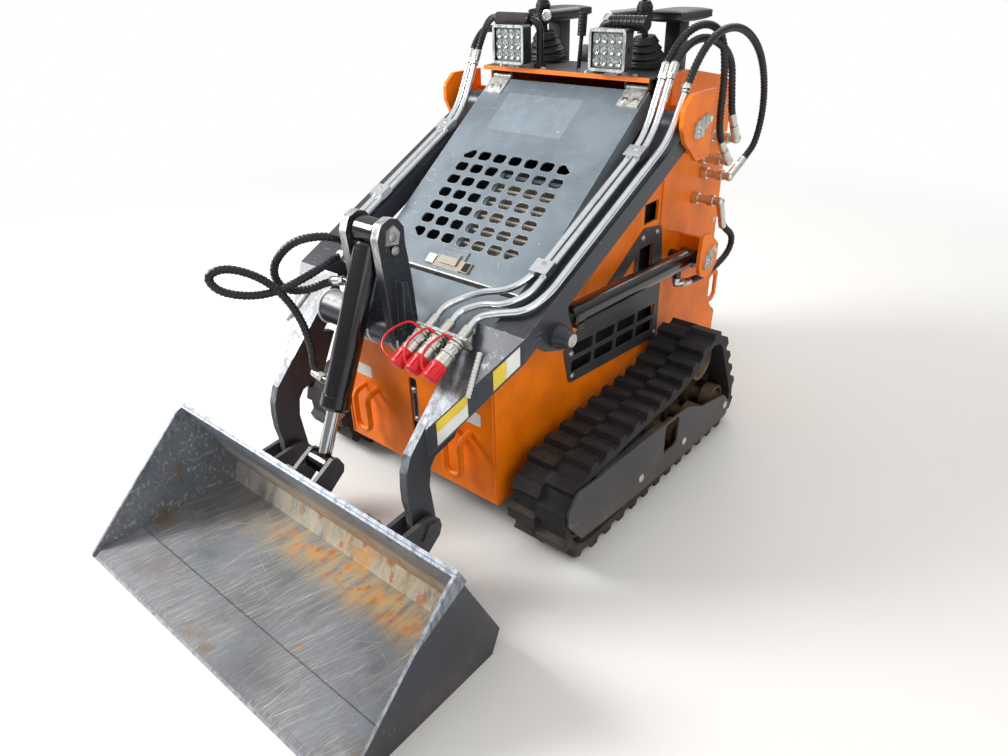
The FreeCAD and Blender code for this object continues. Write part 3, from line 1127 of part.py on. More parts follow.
# Hydraulic cylinders, drawn along their own +Y
def cylinder(name, kind, eye_radius, pin_low, pin_high, eye_half):
    """The barrel with its eye at the origin."""
    outer, bore, length, rod = kind + "_barrel", kind + "_bore", kind + "_long", kind + "_rod"
    body = revolve(name + "Tube", "y", [
        ("0", eye_radius + " - 4"), (outer + " - 3", eye_radius + " - 4"), (outer, eye_radius + " + 2"),
        (outer, length + " - 36"), (outer + " + 3", length + " - 36"), (outer + " + 3", length + " - 8"),
        (outer, length), (rod + " + 0.5", length), (rod + " + 0.5", length + " - 36"),
        (bore, length + " - 36"), (bore, eye_radius + " + 26"), ("0", eye_radius + " + 26"),
    ])
    eye = bar(name + "Eye", "x", "-%s" % eye_half, eye_half, "0", "0", eye_radius)
    pin = bar(name + "Pin", "x", pin_low, pin_high, "0", "0", "pin_radius")
    return body, eye, pin


def piston_rod(name, kind, length, eye_radius, pin_half, eye_half):
    """The rod with its piston inside the barrel and its eye at the free end."""
    rod, bore, first = kind + "_rod", kind + "_bore", kind + "_piston"
    body = revolve(name + "Bar", "y", [
        ("0", first), (bore + " - 0.5", first), (bore + " - 0.5", first + " + 30"), (rod, first + " + 30"),
        (rod, length), ("0", length),
    ])
    eye = bar(name + "Eye", "x", "-%s" % eye_half, eye_half, length, "0", eye_radius)
    pin = bar(name + "Pin", "x", "-(%s)" % pin_half, pin_half, length, "0", "pin_radius")
    return body, eye, pin


lift_rest = "sqrt((rod_pin_y - barrel_pin_y)^2 + (rod_pin_z - barrel_pin_z)^2)"
lift_angle = "(180 deg - atan((rod_pin_z - barrel_pin_z) / (barrel_pin_y - rod_pin_y)))"
parts = cylinder("LiftCylinder", "lift", "lift_eye", "panel_face + pin_gap - lift_x",
    "ear_face - ear_thick - pin_gap - lift_x",
                 "lift_eye_half")
port_rear = bar("LiftPortRear", "z", "lift_barrel - 2", "lift_barrel + 24", "0", "62", "12")
port_front = bar("LiftPortFront", "z", "lift_barrel - 2", "lift_barrel + 18", "0", "lift_long - 60", "12")
barrel = join("LiftBarrel", *parts, port_rear, port_front)
place(barrel, "lift_x", "barrel_pin_y", "barrel_pin_z", lift_angle)
node(barrel, "lift_barrel_left")
node(flip("LiftBarrelRight", barrel), "lift_barrel_right")
parts = piston_rod("LiftRod", "lift", lift_rest, "lift_eye - 3", "arm_out - fork_thick - pin_gap - lift_x",
    "lift_eye_half")
rod = join("LiftPiston", *parts)
place(rod, "lift_x", "barrel_pin_y", "barrel_pin_z", lift_angle)
node(rod, "lift_rod_left")
node(flip("LiftPistonRight", rod), "lift_rod_right")

tilt_rest = "sqrt((tilt_eye_y - tilt_top_y)^2 + (tilt_eye_z - tilt_top_z)^2)"
tilt_angle = "(180 deg + atan((tilt_top_z - tilt_eye_z) / (tilt_top_y - tilt_eye_y)))"
parts = cylinder("TiltCylinder", "tilt", "tilt_eye_top", "-(mast_in - pin_gap)", "mast_in - pin_gap",
    "tilt_eye_half")
port_top = bar("TiltPortTop", "x", "-(tilt_barrel + 20)", "-(tilt_barrel - 3)", "135", "0", "11")
port_low = bar("TiltPortLow", "x", "-(tilt_barrel + 20)", "-(tilt_barrel - 3)", "tilt_long - 60", "0", "11")
tilt = join("TiltBarrel", *parts, port_top, port_low)
place(tilt, "0", "tilt_top_y", "tilt_top_z", tilt_angle)
node(tilt, "tilt_barrel")
parts = piston_rod("TiltRod", "tilt", tilt_rest, "tilt_rod_eye", "tilt_lug_in - pin_gap", "tilt_eye_half - 3")
tilt_bar = join("TiltPiston", *parts)
place(tilt_bar, "0", "tilt_top_y", "tilt_top_z", tilt_angle)
node(tilt_bar, "tilt_rod")

# Bucket and attach plate
back = slanted("knee_y", "knee_z", "(90 + back_lean)")
lip = ("bucket_lip_y", "0")
shell = plate("BucketShell", SIDE, "-bucket_half + side_thick", "bucket_half - side_thick", [
    lip, ("heel_y", "0"), ("knee_y", "knee_z"), back("back_long", "0"), back("back_long", "bucket_skin"),
    ("knee_y - 1.108 * bucket_skin", "knee_z"), ("heel_y - 0.631 * bucket_skin", "bucket_skin"),
    ("bucket_lip_y + edge_deep", "bucket_skin"), ("bucket_lip_y + edge_deep - 7", "edge_thick"),
    ("bucket_lip_y + 20", "edge_thick"),
])
shell_parts = [shell]
for number, hand in enumerate((-1, 1)):
    low = "bucket_half - side_thick" if hand > 0 else "-bucket_half"
    high = "bucket_half" if hand > 0 else "-bucket_half + side_thick"
    cheek = plate("BucketSide%d" % number, SIDE, low, high, [
        lip, ("heel_y", "0"), ("knee_y", "knee_z"), back("back_long", "0"),
        back("back_long", "22"), ("bucket_lip_y + 16", "edge_thick + 10"), ("bucket_lip_y", "8")])
    shell_parts.append(cheek)
rim = plate("BucketRim", SIDE, "-bucket_half", "bucket_half", [
    back("back_long - rim_deep", "-rim_thick"), back("back_long + 6", "-rim_thick"),
    back("back_long + 6", "0"), back("back_long - rim_deep", "0")])
shell_parts.append(rim)
node(join("Bucket", *shell_parts), "bucket")

attach = plate("AttachPlate", SIDE, "-plate_half", "plate_half", [
    back("plate_first", "0"), back("plate_first", "-plate_thick"),
    back("plate_last - rim_deep", "-plate_thick"),
    back("plate_last - rim_deep", "0")])
pocket(attach, SIDE, "-plate_window", "plate_window", [
    back("plate_first + 60", "4"), back("plate_first + 60", "-plate_thick - 4"),
    back("plate_last - rim_deep - 24", "-plate_thick - 4"), back("plate_last - rim_deep - 24", "4")])
attach_parts = [attach]
LUG = [back("46", "-plate_thick"), back("64", "-104"), back("82", "-124"), back("106", "-130"),
       back("130", "-124"), back("148", "-104"), back("182", "-plate_thick")]
TILT_LUG = [back("206", "-plate_thick"), back("222", "-86"), back("238", "-98"), back("266", "-98"),
            back("282", "-84"), back("276", "-rim_thick - 1"), back("plate_last - rim_deep", "-plate_thick")]
for number, hand in enumerate((-1, 1)):
    for start in ("lug_in", "lug_out"):
        low = start if hand > 0 else "-%s - lug_thick" % start
        high = "%s + lug_thick" % start if hand > 0 else "-%s" % start
        attach_parts.append(plate("Lug_%s_%d" % (start, number), SIDE, low, high, LUG))
    low = "tilt_lug_in" if hand > 0 else "-tilt_lug_in - tilt_lug_thick"
    high = "tilt_lug_in + tilt_lug_thick" if hand > 0 else "-tilt_lug_in"
    attach_parts.append(plate("TiltLug%d" % number, SIDE, low, high, TILT_LUG))
    low = "lug_out + lug_thick" if hand > 0 else "-lug_out - lug_thick - 6"
    high = "lug_out + lug_thick + 6" if hand > 0 else "-lug_out - lug_thick"
    attach_parts.append(plate("LugKeeper%d" % number, SIDE, low, high, [
        ("bucket_pin_y - 34", "bucket_pin_z - 14"), ("bucket_pin_y - 4", "bucket_pin_z - 24"),
        ("bucket_pin_y + 22", "bucket_pin_z - 8"), ("bucket_pin_y + 20", "bucket_pin_z + 16"),
        ("bucket_pin_y - 8", "bucket_pin_z + 24")]))
    middle = "%d * 170" % hand
    attach_parts.append(plate("WedgeBar%d" % number, SIDE, middle + " - 20", middle + " + 20", [
        back("plate_first + 6", "-plate_thick"), back("plate_first + 6", "-plate_thick - 26"),
        back("plate_first + 150", "-plate_thick - 26"), back("plate_first + 150", "-plate_thick")]))
node(join("AttachSet", *attach_parts), "attach_plate")

# Panel fittings and hoses
FITTINGS = ((678, 941, -32, 46), (638, 880, -40, 40), (664, 827, 50, 20), (618, 756, 22, -50))
fitting_shapes = []
for hand in (1, -1):
    chosen = FITTINGS if hand > 0 else FITTINGS[:2] + FITTINGS[3:]
    for y, z, dy, dz in chosen:
        x0 = value("panel_face") * hand
        x1 = value("panel_face + port_reach") * hand
        shape = rod_between((x0, y, z), (x1, y, z), "port_tube")
        shape = shape.fuse(rod_between((x0 + 5 * hand, y, z), (x0 + 24 * hand, y, z), "port_nut"))
        shape = shape.fuse(rod_between((x0 + 58 * hand, y, z), (x0 + 76 * hand, y, z), "port_nut"))
        shape = shape.fuse(Part.makeSphere(value("port_tube") + 2, Vector(x1, y, z)))
        shape = shape.fuse(rod_between((x1, y, z), (x1, y + dy, z + dz), "port_tube"))
        fitting_shapes.append(shape)
node(fixed_shape("PanelFittings", Part.makeCompound(fitting_shapes)), "panel_fittings")

tip = "panel_face + port_reach"
PIVOT_HOSES = [
    [(335, 298.4, 1150.8), (335, 332, 1217), (366, 420, 1284), (392, 516, 1262), (402, 545, 1150),
    (404, 538, 1024),
    (tip, 560, 958), (tip, 597.7, 920.3)],
    [(360, 300.5, 1153), (360, 332, 1215), (385, 430, 1256), (400, 580, 1194), (403, 604, 1086),
    (tip, 620, 1024.5),
    (tip, 645.8, 987.4)],
    [(405, 303.4, 1120.8), (405, 352, 1198), (414, 450, 1266), (420, 600, 1262), (424, 740, 1180),
    (422, 816, 1040),
    (412, 820, 910), (tip, 768, 868.7), (tip, 714.5, 847.2)],
]
hoses = [tube(points, "hose_radius") for points in PIVOT_HOSES]
node(fixed_shape("PivotHosesLeft", Part.makeCompound(hoses)), "pivot_hoses_left")
hoses = [tube([("-(%s)" % a if isinstance(a, str) else -a, b, c) for a, b, c in points], "hose_radius")
         for points in PIVOT_HOSES[:2]]
node(fixed_shape("PivotHosesRight", Part.makeCompound(hoses)), "pivot_hoses_right")
LOWER = [(tip, 640.2, 705.6), (tip, 657, 667), (414, 728, 622), (412, 720, 566), (404, 640, 532),
    (392, 540, 518), (380, 450, 530)]
node(fixed_shape("CylinderHoseLeft", tube(LOWER, "hose_radius")), "cylinder_hose_left")
mirror_lower = [("-(%s)" % a if isinstance(a, str) else -a, b, c) for a, b, c in LOWER]
node(fixed_shape("CylinderHoseRight", tube(mirror_lower, "hose_radius")), "cylinder_hose_right")

# Checks and files
doc.recompute()
faults = []
for item in doc.Objects:
    if "Invalid" in item.State or "Error" in item.State:
        faults.append("%s %s" % (item.Name, item.State))
for item in NODES:
    if item.Shape.isNull() or not item.Shape.isValid() or not item.Shape.Solids:
        faults.append("%s has no valid shape" % item.Label)
if faults:
    raise RuntimeError("; ".join(faults))
for item in NODES:
    item.Shape.exportStep("parts/%s.step" % item.Label)
    box = item.Shape.BoundBox
    print("%-22s %7.0f cm3  x %5.0f %5.0f  y %5.0f %5.0f  z %5.0f %5.0f  solids %d" % (
        item.Label, item.Shape.Volume / 1000, box.XMin, box.XMax, box.YMin, box.YMax, box.ZMin, box.ZMax,
        len(item.Shape.Solids)))
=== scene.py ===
"""Looks of the tracked mini loader: paint, wear, rubber, hoses, fasteners, lamps, pads and the stage."""

import math

import bmesh
import bpy
import numpy as np
from bpy.props import FloatProperty, FloatVectorProperty, IntProperty, PointerProperty
from mathutils import Matrix, Vector


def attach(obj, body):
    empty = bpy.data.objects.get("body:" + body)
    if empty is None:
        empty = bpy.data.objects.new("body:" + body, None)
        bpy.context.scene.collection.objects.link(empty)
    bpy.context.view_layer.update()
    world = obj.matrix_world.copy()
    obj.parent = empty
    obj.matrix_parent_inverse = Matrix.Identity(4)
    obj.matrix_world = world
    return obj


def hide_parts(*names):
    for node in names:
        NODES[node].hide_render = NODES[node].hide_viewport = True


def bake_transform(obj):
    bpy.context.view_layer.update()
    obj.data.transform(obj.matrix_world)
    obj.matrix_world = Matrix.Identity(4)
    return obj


bl_info = {
    "name": "Tracked mini loader looks",
    "version": (1, 0, 0),
    "blender": (4, 5, 0),
    "location": "View3D > Sidebar > Loader",
    "description": "Finishes and small details for the packed tracked mini loader",
    "category": "Object",
}

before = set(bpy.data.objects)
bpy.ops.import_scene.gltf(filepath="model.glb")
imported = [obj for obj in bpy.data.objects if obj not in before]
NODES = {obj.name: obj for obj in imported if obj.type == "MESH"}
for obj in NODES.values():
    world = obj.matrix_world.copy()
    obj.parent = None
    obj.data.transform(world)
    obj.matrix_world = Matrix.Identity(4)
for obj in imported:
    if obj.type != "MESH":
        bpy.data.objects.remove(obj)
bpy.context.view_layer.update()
MM = 0.001

# Places shared with the solids, in millimetres: (y, z) of pins, tubes and edges, x of faces
ARM_PIVOT = (340, 1027)
BARREL_PIN = (503, 599)
ROD_PIN = (-275, 641)
BUCKET_PIN = (-628, 200)
TILT_TOP = (-466, 872)
TILT_EYE = (-712, 322)
CROSS_TUBE = (-436, 597)
CROSS_RADIUS = 47
HOOD_FRONT = (-235, 691)
HOOD_SLOPE = math.radians(36.9)
ARM_LEAN = math.radians(27)
ARM_RISE = 0.489
CLAMP_HEIGHT = 35
PORT_REACH = 403
TOWER_FACE = 440
SIDE_FACE = 309
TRACK_FACE = 540
COUPLER_X = (165, 217, 275)
COUPLER_START = 880
COUPLER_LIFT = 38.5
CAP_START = 84
CAP_RIBS = 14
HANDLE_X = 108
HANDLE_Z = 1290
REST_X = 215

# (x, y, z) of the left one of two, in millimetres
LAMP = (175, 280, 1217)
JOYSTICK = (180, 476, 1161)

# The left arm's slanted outer face at its rear joint and at its nose: x, y, lowest z and highest z
WEDGE = ((420, -400, 617, 681), (280, -600, 400, 480))

# In metres, the middle of the space in the bucket
BUCKET_MIDDLE = (0.0, -0.86, 0.22)

# A smooth mesh stays crisp where its faces meet at more than this
CRISP_ANGLE = math.radians(35)


def mm(x, y, z):
    """A point given in millimetres."""
    return Vector((x, y, z)) * MM


def on_hood(x, up, out):
    """A point of the hood: x across, up along the slope from its front edge, out of the sheet."""
    y = HOOD_FRONT[0] + up * math.cos(HOOD_SLOPE) - out * math.sin(HOOD_SLOPE)
    z = HOOD_FRONT[1] + up * math.sin(HOOD_SLOPE) + out * math.cos(HOOD_SLOPE)
    return mm(x, y, z)


def on_arm(x, down, above):
    """A point given by its distance down the arm and its height above the arm's middle line."""
    y = ARM_PIVOT[0] - down * math.cos(ARM_LEAN) - above * math.sin(ARM_LEAN)
    z = ARM_PIVOT[1] - down * math.sin(ARM_LEAN) + above * math.cos(ARM_LEAN)
    return mm(x, y, z)


def tone(red, green, blue):
    """A display colour, 0 to 255 each, as linear light."""
    return tuple(
        (c / 255 / 12.92) if c / 255 <= 0.04045 else ((c / 255 + 0.055) / 1.055) ** 2.4
        for c in (red, green, blue)) + (1.0,)


def tinted(colour, share, lift=0.0):
    """A colour made darker or lighter."""
    return tuple(min(1.0, c * share + lift) for c in colour[:3]) + (1.0,)


class LoaderFinish(bpy.types.PropertyGroup):
    """Colours and wear of the machine."""
    orange: FloatVectorProperty(name="Chassis paint", description="Colour of the chassis panels",
                                subtype="COLOR", size=4, min=0, max=1, default=tone(250, 122, 6))
    charcoal: FloatVectorProperty(name="Arm paint", description="Colour of arms, covers and bucket",
                                  subtype="COLOR", size=4, min=0, max=1, default=tone(43, 47, 55))
    slate: FloatVectorProperty(name="Hood paint", description="Colour of the hood",
                               subtype="COLOR", size=4, min=0, max=1, default=tone(116, 128, 137))
    dust: FloatVectorProperty(name="Dust", description="Colour of dry dust",
                              subtype="COLOR", size=4, min=0, max=1, default=tone(150, 128, 100))
    rust: FloatVectorProperty(name="Rust", description="Colour of light surface rust",
                              subtype="COLOR", size=4, min=0, max=1, default=tone(178, 94, 14))
    edge_wear: FloatProperty(name="Edge wear", description="How much paint is rubbed off the edges",
                             min=0, max=1, default=0.55)


class LoaderSizes(bpy.types.PropertyGroup):
    """Sizes of the small details, in metres."""
    hose_radius: FloatProperty(name="Hose radius", description="Outer radius of a hose",
                               subtype="DISTANCE", unit="LENGTH", default=0.0095)
    guard_rise: FloatProperty(name="Guard rise", description="Height of the spiral guard over the hose",
                              subtype="DISTANCE", unit="LENGTH", default=0.0017)
    guard_pitch: FloatProperty(name="Guard pitch", description="Distance between turns of the guard",
                               subtype="DISTANCE", unit="LENGTH", default=0.0105)
    bolt_radius: FloatProperty(name="Bolt radius", description="Across-corner radius of a common bolt head",
                               subtype="DISTANCE", unit="LENGTH", default=0.0095)
    lamp_columns: IntProperty(name="Lamp columns", description="Light cells across a work lamp",
                              min=2, max=8, default=4)
    lamp_lines: IntProperty(name="Lamp lines", description="Light cells up a work lamp",
                            min=2, max=8, default=3)


class LoaderStage(bpy.types.PropertyGroup):
    """Floor, light and camera."""
    floor_tone: FloatVectorProperty(name="Floor", description="Colour of the floor",
                                    subtype="COLOR", size=4, min=0, max=1, default=tone(226, 224, 220))
    key_power: FloatProperty(name="Key light", description="Power of the large key light",
                             subtype="POWER", default=230)
    fill_power: FloatProperty(name="Fill light", description="Power of the fill light",
                              subtype="POWER", default=34)
    bright_near: FloatProperty(name="White from",
                               description="Distance where the floor starts to fade to white",
                               subtype="DISTANCE", unit="LENGTH", default=1.6)
    bright_far: FloatProperty(name="White at", description="Distance at which the floor is plain white",
                              subtype="DISTANCE", unit="LENGTH", default=5.0)
    sky: FloatProperty(name="Sky", description="Strength of the even surrounding light",
                       min=0, max=2, default=0.5)


class Shade:
    """Short ways to build a node tree; where and normal are sockets for the surface's place and direction."""

    def __init__(self, tree):
        self.tree = tree

    def feed(self, node, place, item):
        """Link a socket to a node's input, or set that input to a value."""
        if isinstance(item, bpy.types.NodeSocket):
            self.tree.links.new(item, node.inputs[place])
        else:
            node.inputs[place].default_value = item

    def add(self, kind, **settings):
        """A node; settings are its own properties, or its inputs when a name starts with in_."""
        node = self.tree.nodes.new(kind)
        for name, setting in settings.items():
            if name.startswith("in_"):
                place = name[3:]
                self.feed(node, int(place) if place.isdigit() else place.replace("_", " "), setting)
            else:
                setattr(node, name, setting)
        return node

    def maths(self, operation, first, second=None, clamp=False):
        """One sum of values, each a socket or a number."""
        node = self.add("ShaderNodeMath", operation=operation, use_clamp=clamp, in_0=first)
        if second is not None:
            self.feed(node, 1, second)
        return node.outputs[0]

    def fold(self, operation, items):
        result = items[0]
        for item in items[1:]:
            result = self.maths(operation, result, item)
        return result

    def times(self, *items):
        """The product of values; of masks, where every one holds."""
        return self.fold("MULTIPLY", items)

    def most(self, *items):
        """The largest of values; of masks, where at least one holds."""
        return self.fold("MAXIMUM", items)

    def plus(self, *items):
        return self.fold("ADD", items)

    def ramp(self, source, low, high, start=0.0, end=1.0):
        """Maps a value from low..high to start..end, smoothly and clamped; low may be the larger."""
        node = self.add("ShaderNodeMapRange", interpolation_type="SMOOTHSTEP", in_Value=source,
                        in_From_Min=low, in_From_Max=high, in_To_Min=start, in_To_Max=end)
        return node.outputs["Result"]

    def noise(self, scale, detail=4.0, rough=0.55, stretch=None, where=None):
        """Noise over the surface, stretched along an axis when stretch is given."""
        where = self.where if where is None else where
        if stretch is not None:
            where = self.add("ShaderNodeMapping", in_Scale=stretch, in_Vector=where).outputs["Vector"]
        node = self.add("ShaderNodeTexNoise", in_Detail=detail, in_Roughness=rough, in_Vector=where,
                        in_Scale=scale)
        return node.outputs["Fac"]

    def patches(self, scale, low, high):
        return self.ramp(self.noise(scale, 7.0, 0.7), low, high)

    def mix(self, share, first, second):
        """A colour mix; share, first and second are sockets or values."""
        return self.add("ShaderNodeMix", data_type="RGBA", in_0=share, in_6=first, in_7=second).outputs[2]

    def vector(self, operation, first, second, output=0):
        return self.add("ShaderNodeVectorMath", operation=operation, in_0=first, in_1=second).outputs[output]

    def dot(self, first, second):
        return self.vector("DOT_PRODUCT", first, second, "Value")

    def axis(self, vector, name):
        return self.add("ShaderNodeSeparateXYZ", in_0=vector).outputs[name]

    def span(self, axis, low, high):
        """A mask that rises from low to high along X, Y or Z, in metres."""
        return self.ramp(self.axis(self.where, axis), low, high)

    def outside(self, low, high):
        """How far the point lies out to either side, between two limits in metres."""
        return self.ramp(self.maths("ABSOLUTE", self.axis(self.where, "X")), low, high)

    def facing(self, direction, low, high):
        """Faces that look along a direction, in the piece's own space."""
        return self.ramp(self.dot(self.normal, direction), low, high)

    def cut_edges(self):
        """Cut edges of upright plates: faces that look neither left nor right."""
        return self.ramp(self.maths("ABSOLUTE", self.axis(self.normal, "X")), 0.5, 0.2)

    def group(self, name, **levels):
        """A shared node group fed with the place; gives its outputs."""
        tree = bpy.data.node_groups.get(name) or GROUPS[name](name).tree
        return self.add("ShaderNodeGroup", node_tree=tree, in_Place=self.where, **levels).outputs

    def dusted(self, base, amount, height):
        """Feeds a colour to the shader with dust over it; gives the dust's mask."""
        mask = self.group("dust_film", in_Amount=amount, in_Height=height)["Dust"]
        dust = tuple(bpy.context.scene.loader_finish.dust)
        self.feed(self.shader, "Base Color", self.mix(mask, base, dust))
        return mask

    def roughness(self, first, second):
        self.feed(self.shader, "Roughness", self.maths("ADD", first, second, clamp=True))

    def bump(self, height, strength, distance):
        bump = self.add("ShaderNodeBump", in_Strength=strength, in_Distance=distance, in_Height=height)
        self.feed(self.shader, "Normal", bump.outputs["Normal"])


# Node groups that several materials share

def new_group(name, levels, outputs):
    """A node group with a Place, some levels by name and default, and outputs that are all values."""
    tree = bpy.data.node_groups.new(name, "ShaderNodeTree")
    tree.interface.new_socket("Place", in_out="INPUT", socket_type="NodeSocketVector")
    for label, default in levels.items():
        level = tree.interface.new_socket(label, in_out="INPUT", socket_type="NodeSocketFloat")
        level.default_value = default
    for label in outputs:
        tree.interface.new_socket(label, in_out="OUTPUT", socket_type="NodeSocketFloat")
    s = Shade(tree)
    s.given = s.add("NodeGroupInput").outputs
    s.gives = s.add("NodeGroupOutput")
    s.where = s.given["Place"]
    return s


def wear_group(name):
    """Worn edges, scratches and a soft mottle over painted metal."""
    s = new_group(name, {"Edge Amount": 0.5, "Scratch Amount": 0.3}, ("Edge", "Scratch", "Mottle"))
    bevel = s.add("ShaderNodeBevel", samples=4, in_Radius=0.004)
    geometry = s.add("ShaderNodeNewGeometry")
    sharp = s.maths("SUBTRACT", 1.0, s.dot(bevel.outputs["Normal"], geometry.outputs["Normal"]))
    level = s.times(s.noise(26.0, 5.0, 0.7), s.plus(s.given["Edge Amount"], 0.55))
    s.feed(s.gives, "Edge", s.ramp(s.times(s.maths("POWER", sharp, 0.6), level), 0.16, 0.34))
    marks = s.most(*(s.ramp(s.noise(1.0, 2.0, 0.5, stretch), 0.66, 0.70)
                     for stretch in ((210, 9, 30), (14, 190, 40), (30, 16, 230))))
    zone = s.ramp(s.noise(5.0, 3.0, 0.6), 0.45, 0.7)
    scratch = s.maths("MULTIPLY", s.times(marks, zone), s.given["Scratch Amount"], clamp=True)
    s.feed(s.gives, "Scratch", scratch)
    s.feed(s.gives, "Mottle", s.noise(7.0, 6.0, 0.6))
    return s


def dust_group(name):
    """Dust that gathers low down and on faces that look up."""
    s = new_group(name, {"Amount": 0.4, "Height": 0.4}, ("Dust",))
    geometry = s.add("ShaderNodeNewGeometry")
    low = s.ramp(s.axis(s.where, "Z"), s.given["Height"], 0.0)
    up = s.ramp(s.axis(geometry.outputs["Normal"], "Z"), 0.35, 1.0, 0.0, 0.55)
    grain = s.times(s.noise(38.0, 8.0, 0.72), s.noise(4.5))
    dust = s.ramp(s.times(s.plus(s.times(low, 0.9), up, 0.12), grain), 0.10, 0.42)
    s.feed(s.gives, "Dust", s.maths("MULTIPLY", dust, s.given["Amount"], clamp=True))
    return s


def grain_group(name):
    """Fine height over a surface, from orange peel in paint to the grain of rubber."""
    s = new_group(name, {"Scale": 300.0, "Pits": 0.0}, ("Height",))
    fine = s.noise(s.given["Scale"], 3.0, 0.5)
    pits = s.times(s.ramp(s.noise(16.0, 4.0, 0.6), 0.55, 0.75), s.given["Pits"])
    s.feed(s.gives, "Height", s.maths("SUBTRACT", fine, pits))
    return s


GROUPS = {"surface_wear": wear_group, "dust_film": dust_group, "fine_grain": grain_group}


# Kinds of material

def start_material(name, rough, metal, **levels):
    """The Shade of a new material, with its Principled shader and the object's own coordinates."""
    material = bpy.data.materials.new(name)
    material.use_nodes = True
    material.node_tree.nodes.clear()
    s = Shade(material.node_tree)
    s.material = material
    s.shader = s.add("ShaderNodeBsdfPrincipled", in_Roughness=rough, in_Metallic=metal, **levels)
    s.out = s.add("ShaderNodeOutputMaterial", in_Surface=s.shader.outputs[0])
    coordinates = s.add("ShaderNodeTexCoord").outputs
    s.where = coordinates["Object"]
    s.normal = coordinates["Normal"]
    return s


def painted(name, colour, rough, wear, scratch, dust, dust_height, bare=tone(150, 150, 148), coat=0.0,
            extra=None, shine=0.5):
    """Painted sheet metal with rubbed edges, scratches and dust; extra may add masks of its own."""
    s = start_material(name, rough, 0.0, in_Coat_Weight=coat, in_Coat_Roughness=0.12,
                       in_Specular_IOR_Level=shine)
    worn = s.group("surface_wear", in_Edge_Amount=wear, in_Scratch_Amount=scratch)
    paint = s.mix(s.ramp(worn["Mottle"], 0.3, 0.7), tinted(colour, 0.78), tinted(colour, 1.12))
    metal = s.most(worn["Edge"], worn["Scratch"])
    if extra is not None:
        paint, metal = extra(s, paint, metal)
    rubbed = s.ramp(s.noise(1.0, 6.0, 0.7, (60, 60, 18)), 0.40, 0.66)
    base = s.mix(metal, paint, s.mix(rubbed, bare, tinted(bare, 0.42)))
    dusty = s.dusted(base, dust, dust_height)
    s.feed(s.shader, "Metallic", s.times(metal, 0.6))
    gloss = s.plus(rough - 0.05, s.times(worn["Mottle"], 0.12), s.times(metal, 0.12))
    s.roughness(gloss, s.times(dusty, 0.4))
    s.bump(s.group("fine_grain", in_Scale=260.0, in_Pits=0.2)["Height"], 0.08, 0.001)
    return s.material


def bare_metal(name, colour, rough, metal, dust, dust_height, brushed, pits=0.0, extra=None):
    """Unpainted metal: plated tubes, chromed rods, pins."""
    s = start_material(name, rough, metal)
    tint = tinted(colour, 0.62 if pits else 0.86)
    base = s.mix(s.ramp(s.noise(22.0, 6.0, 0.65), 0.42, 0.72), colour, tint)
    if extra is not None:
        base = extra(s, base)
    s.dusted(base, dust, dust_height)
    s.roughness(rough, s.times(s.noise(1.0, 3.0, 0.5, (60, 400, 400)), brushed))
    s.bump(s.group("fine_grain", in_Scale=420.0, in_Pits=pits)["Height"], 0.06, 0.0008)
    return s.material


def rubber(name, colour, rough, dust, dust_height, grain_scale, grain, wave=None):
    """Rubber, foam and moulded plastic; wave gives the direction and scale of ribs."""
    s = start_material(name, rough, 0.0, in_Specular_IOR_Level=0.35)
    base = s.mix(s.ramp(s.noise(12.0, 7.0, 0.7), 0.40, 0.75), colour, tinted(colour, 1.7, 0.006))
    dusty = s.dusted(base, dust, dust_height)
    s.roughness(rough, s.times(dusty, 0.3))
    height = s.group("fine_grain", in_Scale=grain_scale, in_Pits=0.5)["Height"]
    if wave is not None:
        ribs = s.add("ShaderNodeTexWave", wave_type="BANDS", bands_direction=wave[0], in_Scale=wave[1],
                     in_Vector=s.where)
        height = s.plus(height, ribs.outputs["Fac"])
    s.bump(height, grain, 0.002)
    return s.material


def label(name, colour):
    """A blank sticker, a little scuffed."""
    return painted(name, colour, 0.45, 0.0, 0.4, 0.30, 0.6, bare=tone(120, 118, 112))


def lens(name):
    """Clear moulded lens over a bright reflector cell."""
    s = start_material(name, 0.08, 0.0, in_Coat_Weight=1.0, in_Coat_Roughness=0.03, in_Specular_IOR_Level=0.8)
    rings = s.add("ShaderNodeTexVoronoi", in_Scale=130.0, in_Vector=s.where).outputs["Distance"]
    s.feed(s.shader, "Base Color", s.mix(s.ramp(rings, 0.1, 0.6), tone(206, 210, 208), tone(128, 134, 134)))
    s.bump(rings, 0.3, 0.001)
    return s.material


# Marks of single pieces; the limits are places on the piece in metres

def arm_wear(s, paint, metal):
    """Bare steel on the gooseneck's front edge, on the nose and on the rod's bushing."""
    front = s.times(s.facing((0, -0.97, 0.2), 0.35, 0.6), s.cut_edges(), s.span("Z", 0.62, 0.55),
                    s.patches(13.0, 0.18, 0.36))
    top = s.facing((0, -0.3, 0.95), 0.55, 0.8)
    nose = s.times(top, s.span("Y", -0.47, -0.53), s.patches(15.0, 0.40, 0.52))
    spots = s.times(top, s.span("Y", -0.36, -0.44), s.patches(24.0, 0.54, 0.6))
    bushing = s.times(s.outside(0.4655, 0.4658), s.span("Y", -0.33, -0.32), s.span("Z", 0.70, 0.69))
    return paint, s.most(metal, front, nose, spots, bushing)


def cross_wear(s, paint, metal):
    """Bare keepers and worn edges at the head of the two plates that hold the tilt cylinder."""
    keeper = s.times(s.outside(0.0701, 0.0704), s.span("Z", 0.80, 0.805))
    head = s.times(s.cut_edges(), s.span("Z", 0.76, 0.84), s.facing((0, -0.8, 0.6), -0.3, 0.1),
                   s.patches(14.0, 0.26, 0.42))
    bracket = s.times(s.outside(0.137, 0.138), s.span("Z", 0.63, 0.64))
    return paint, s.most(metal, keeper, head, bracket)


def keeper_steel(s, paint, metal):
    """The pin keepers on the towers are plain plated steel."""
    return paint, s.most(metal, s.outside(0.4353, 0.4358))


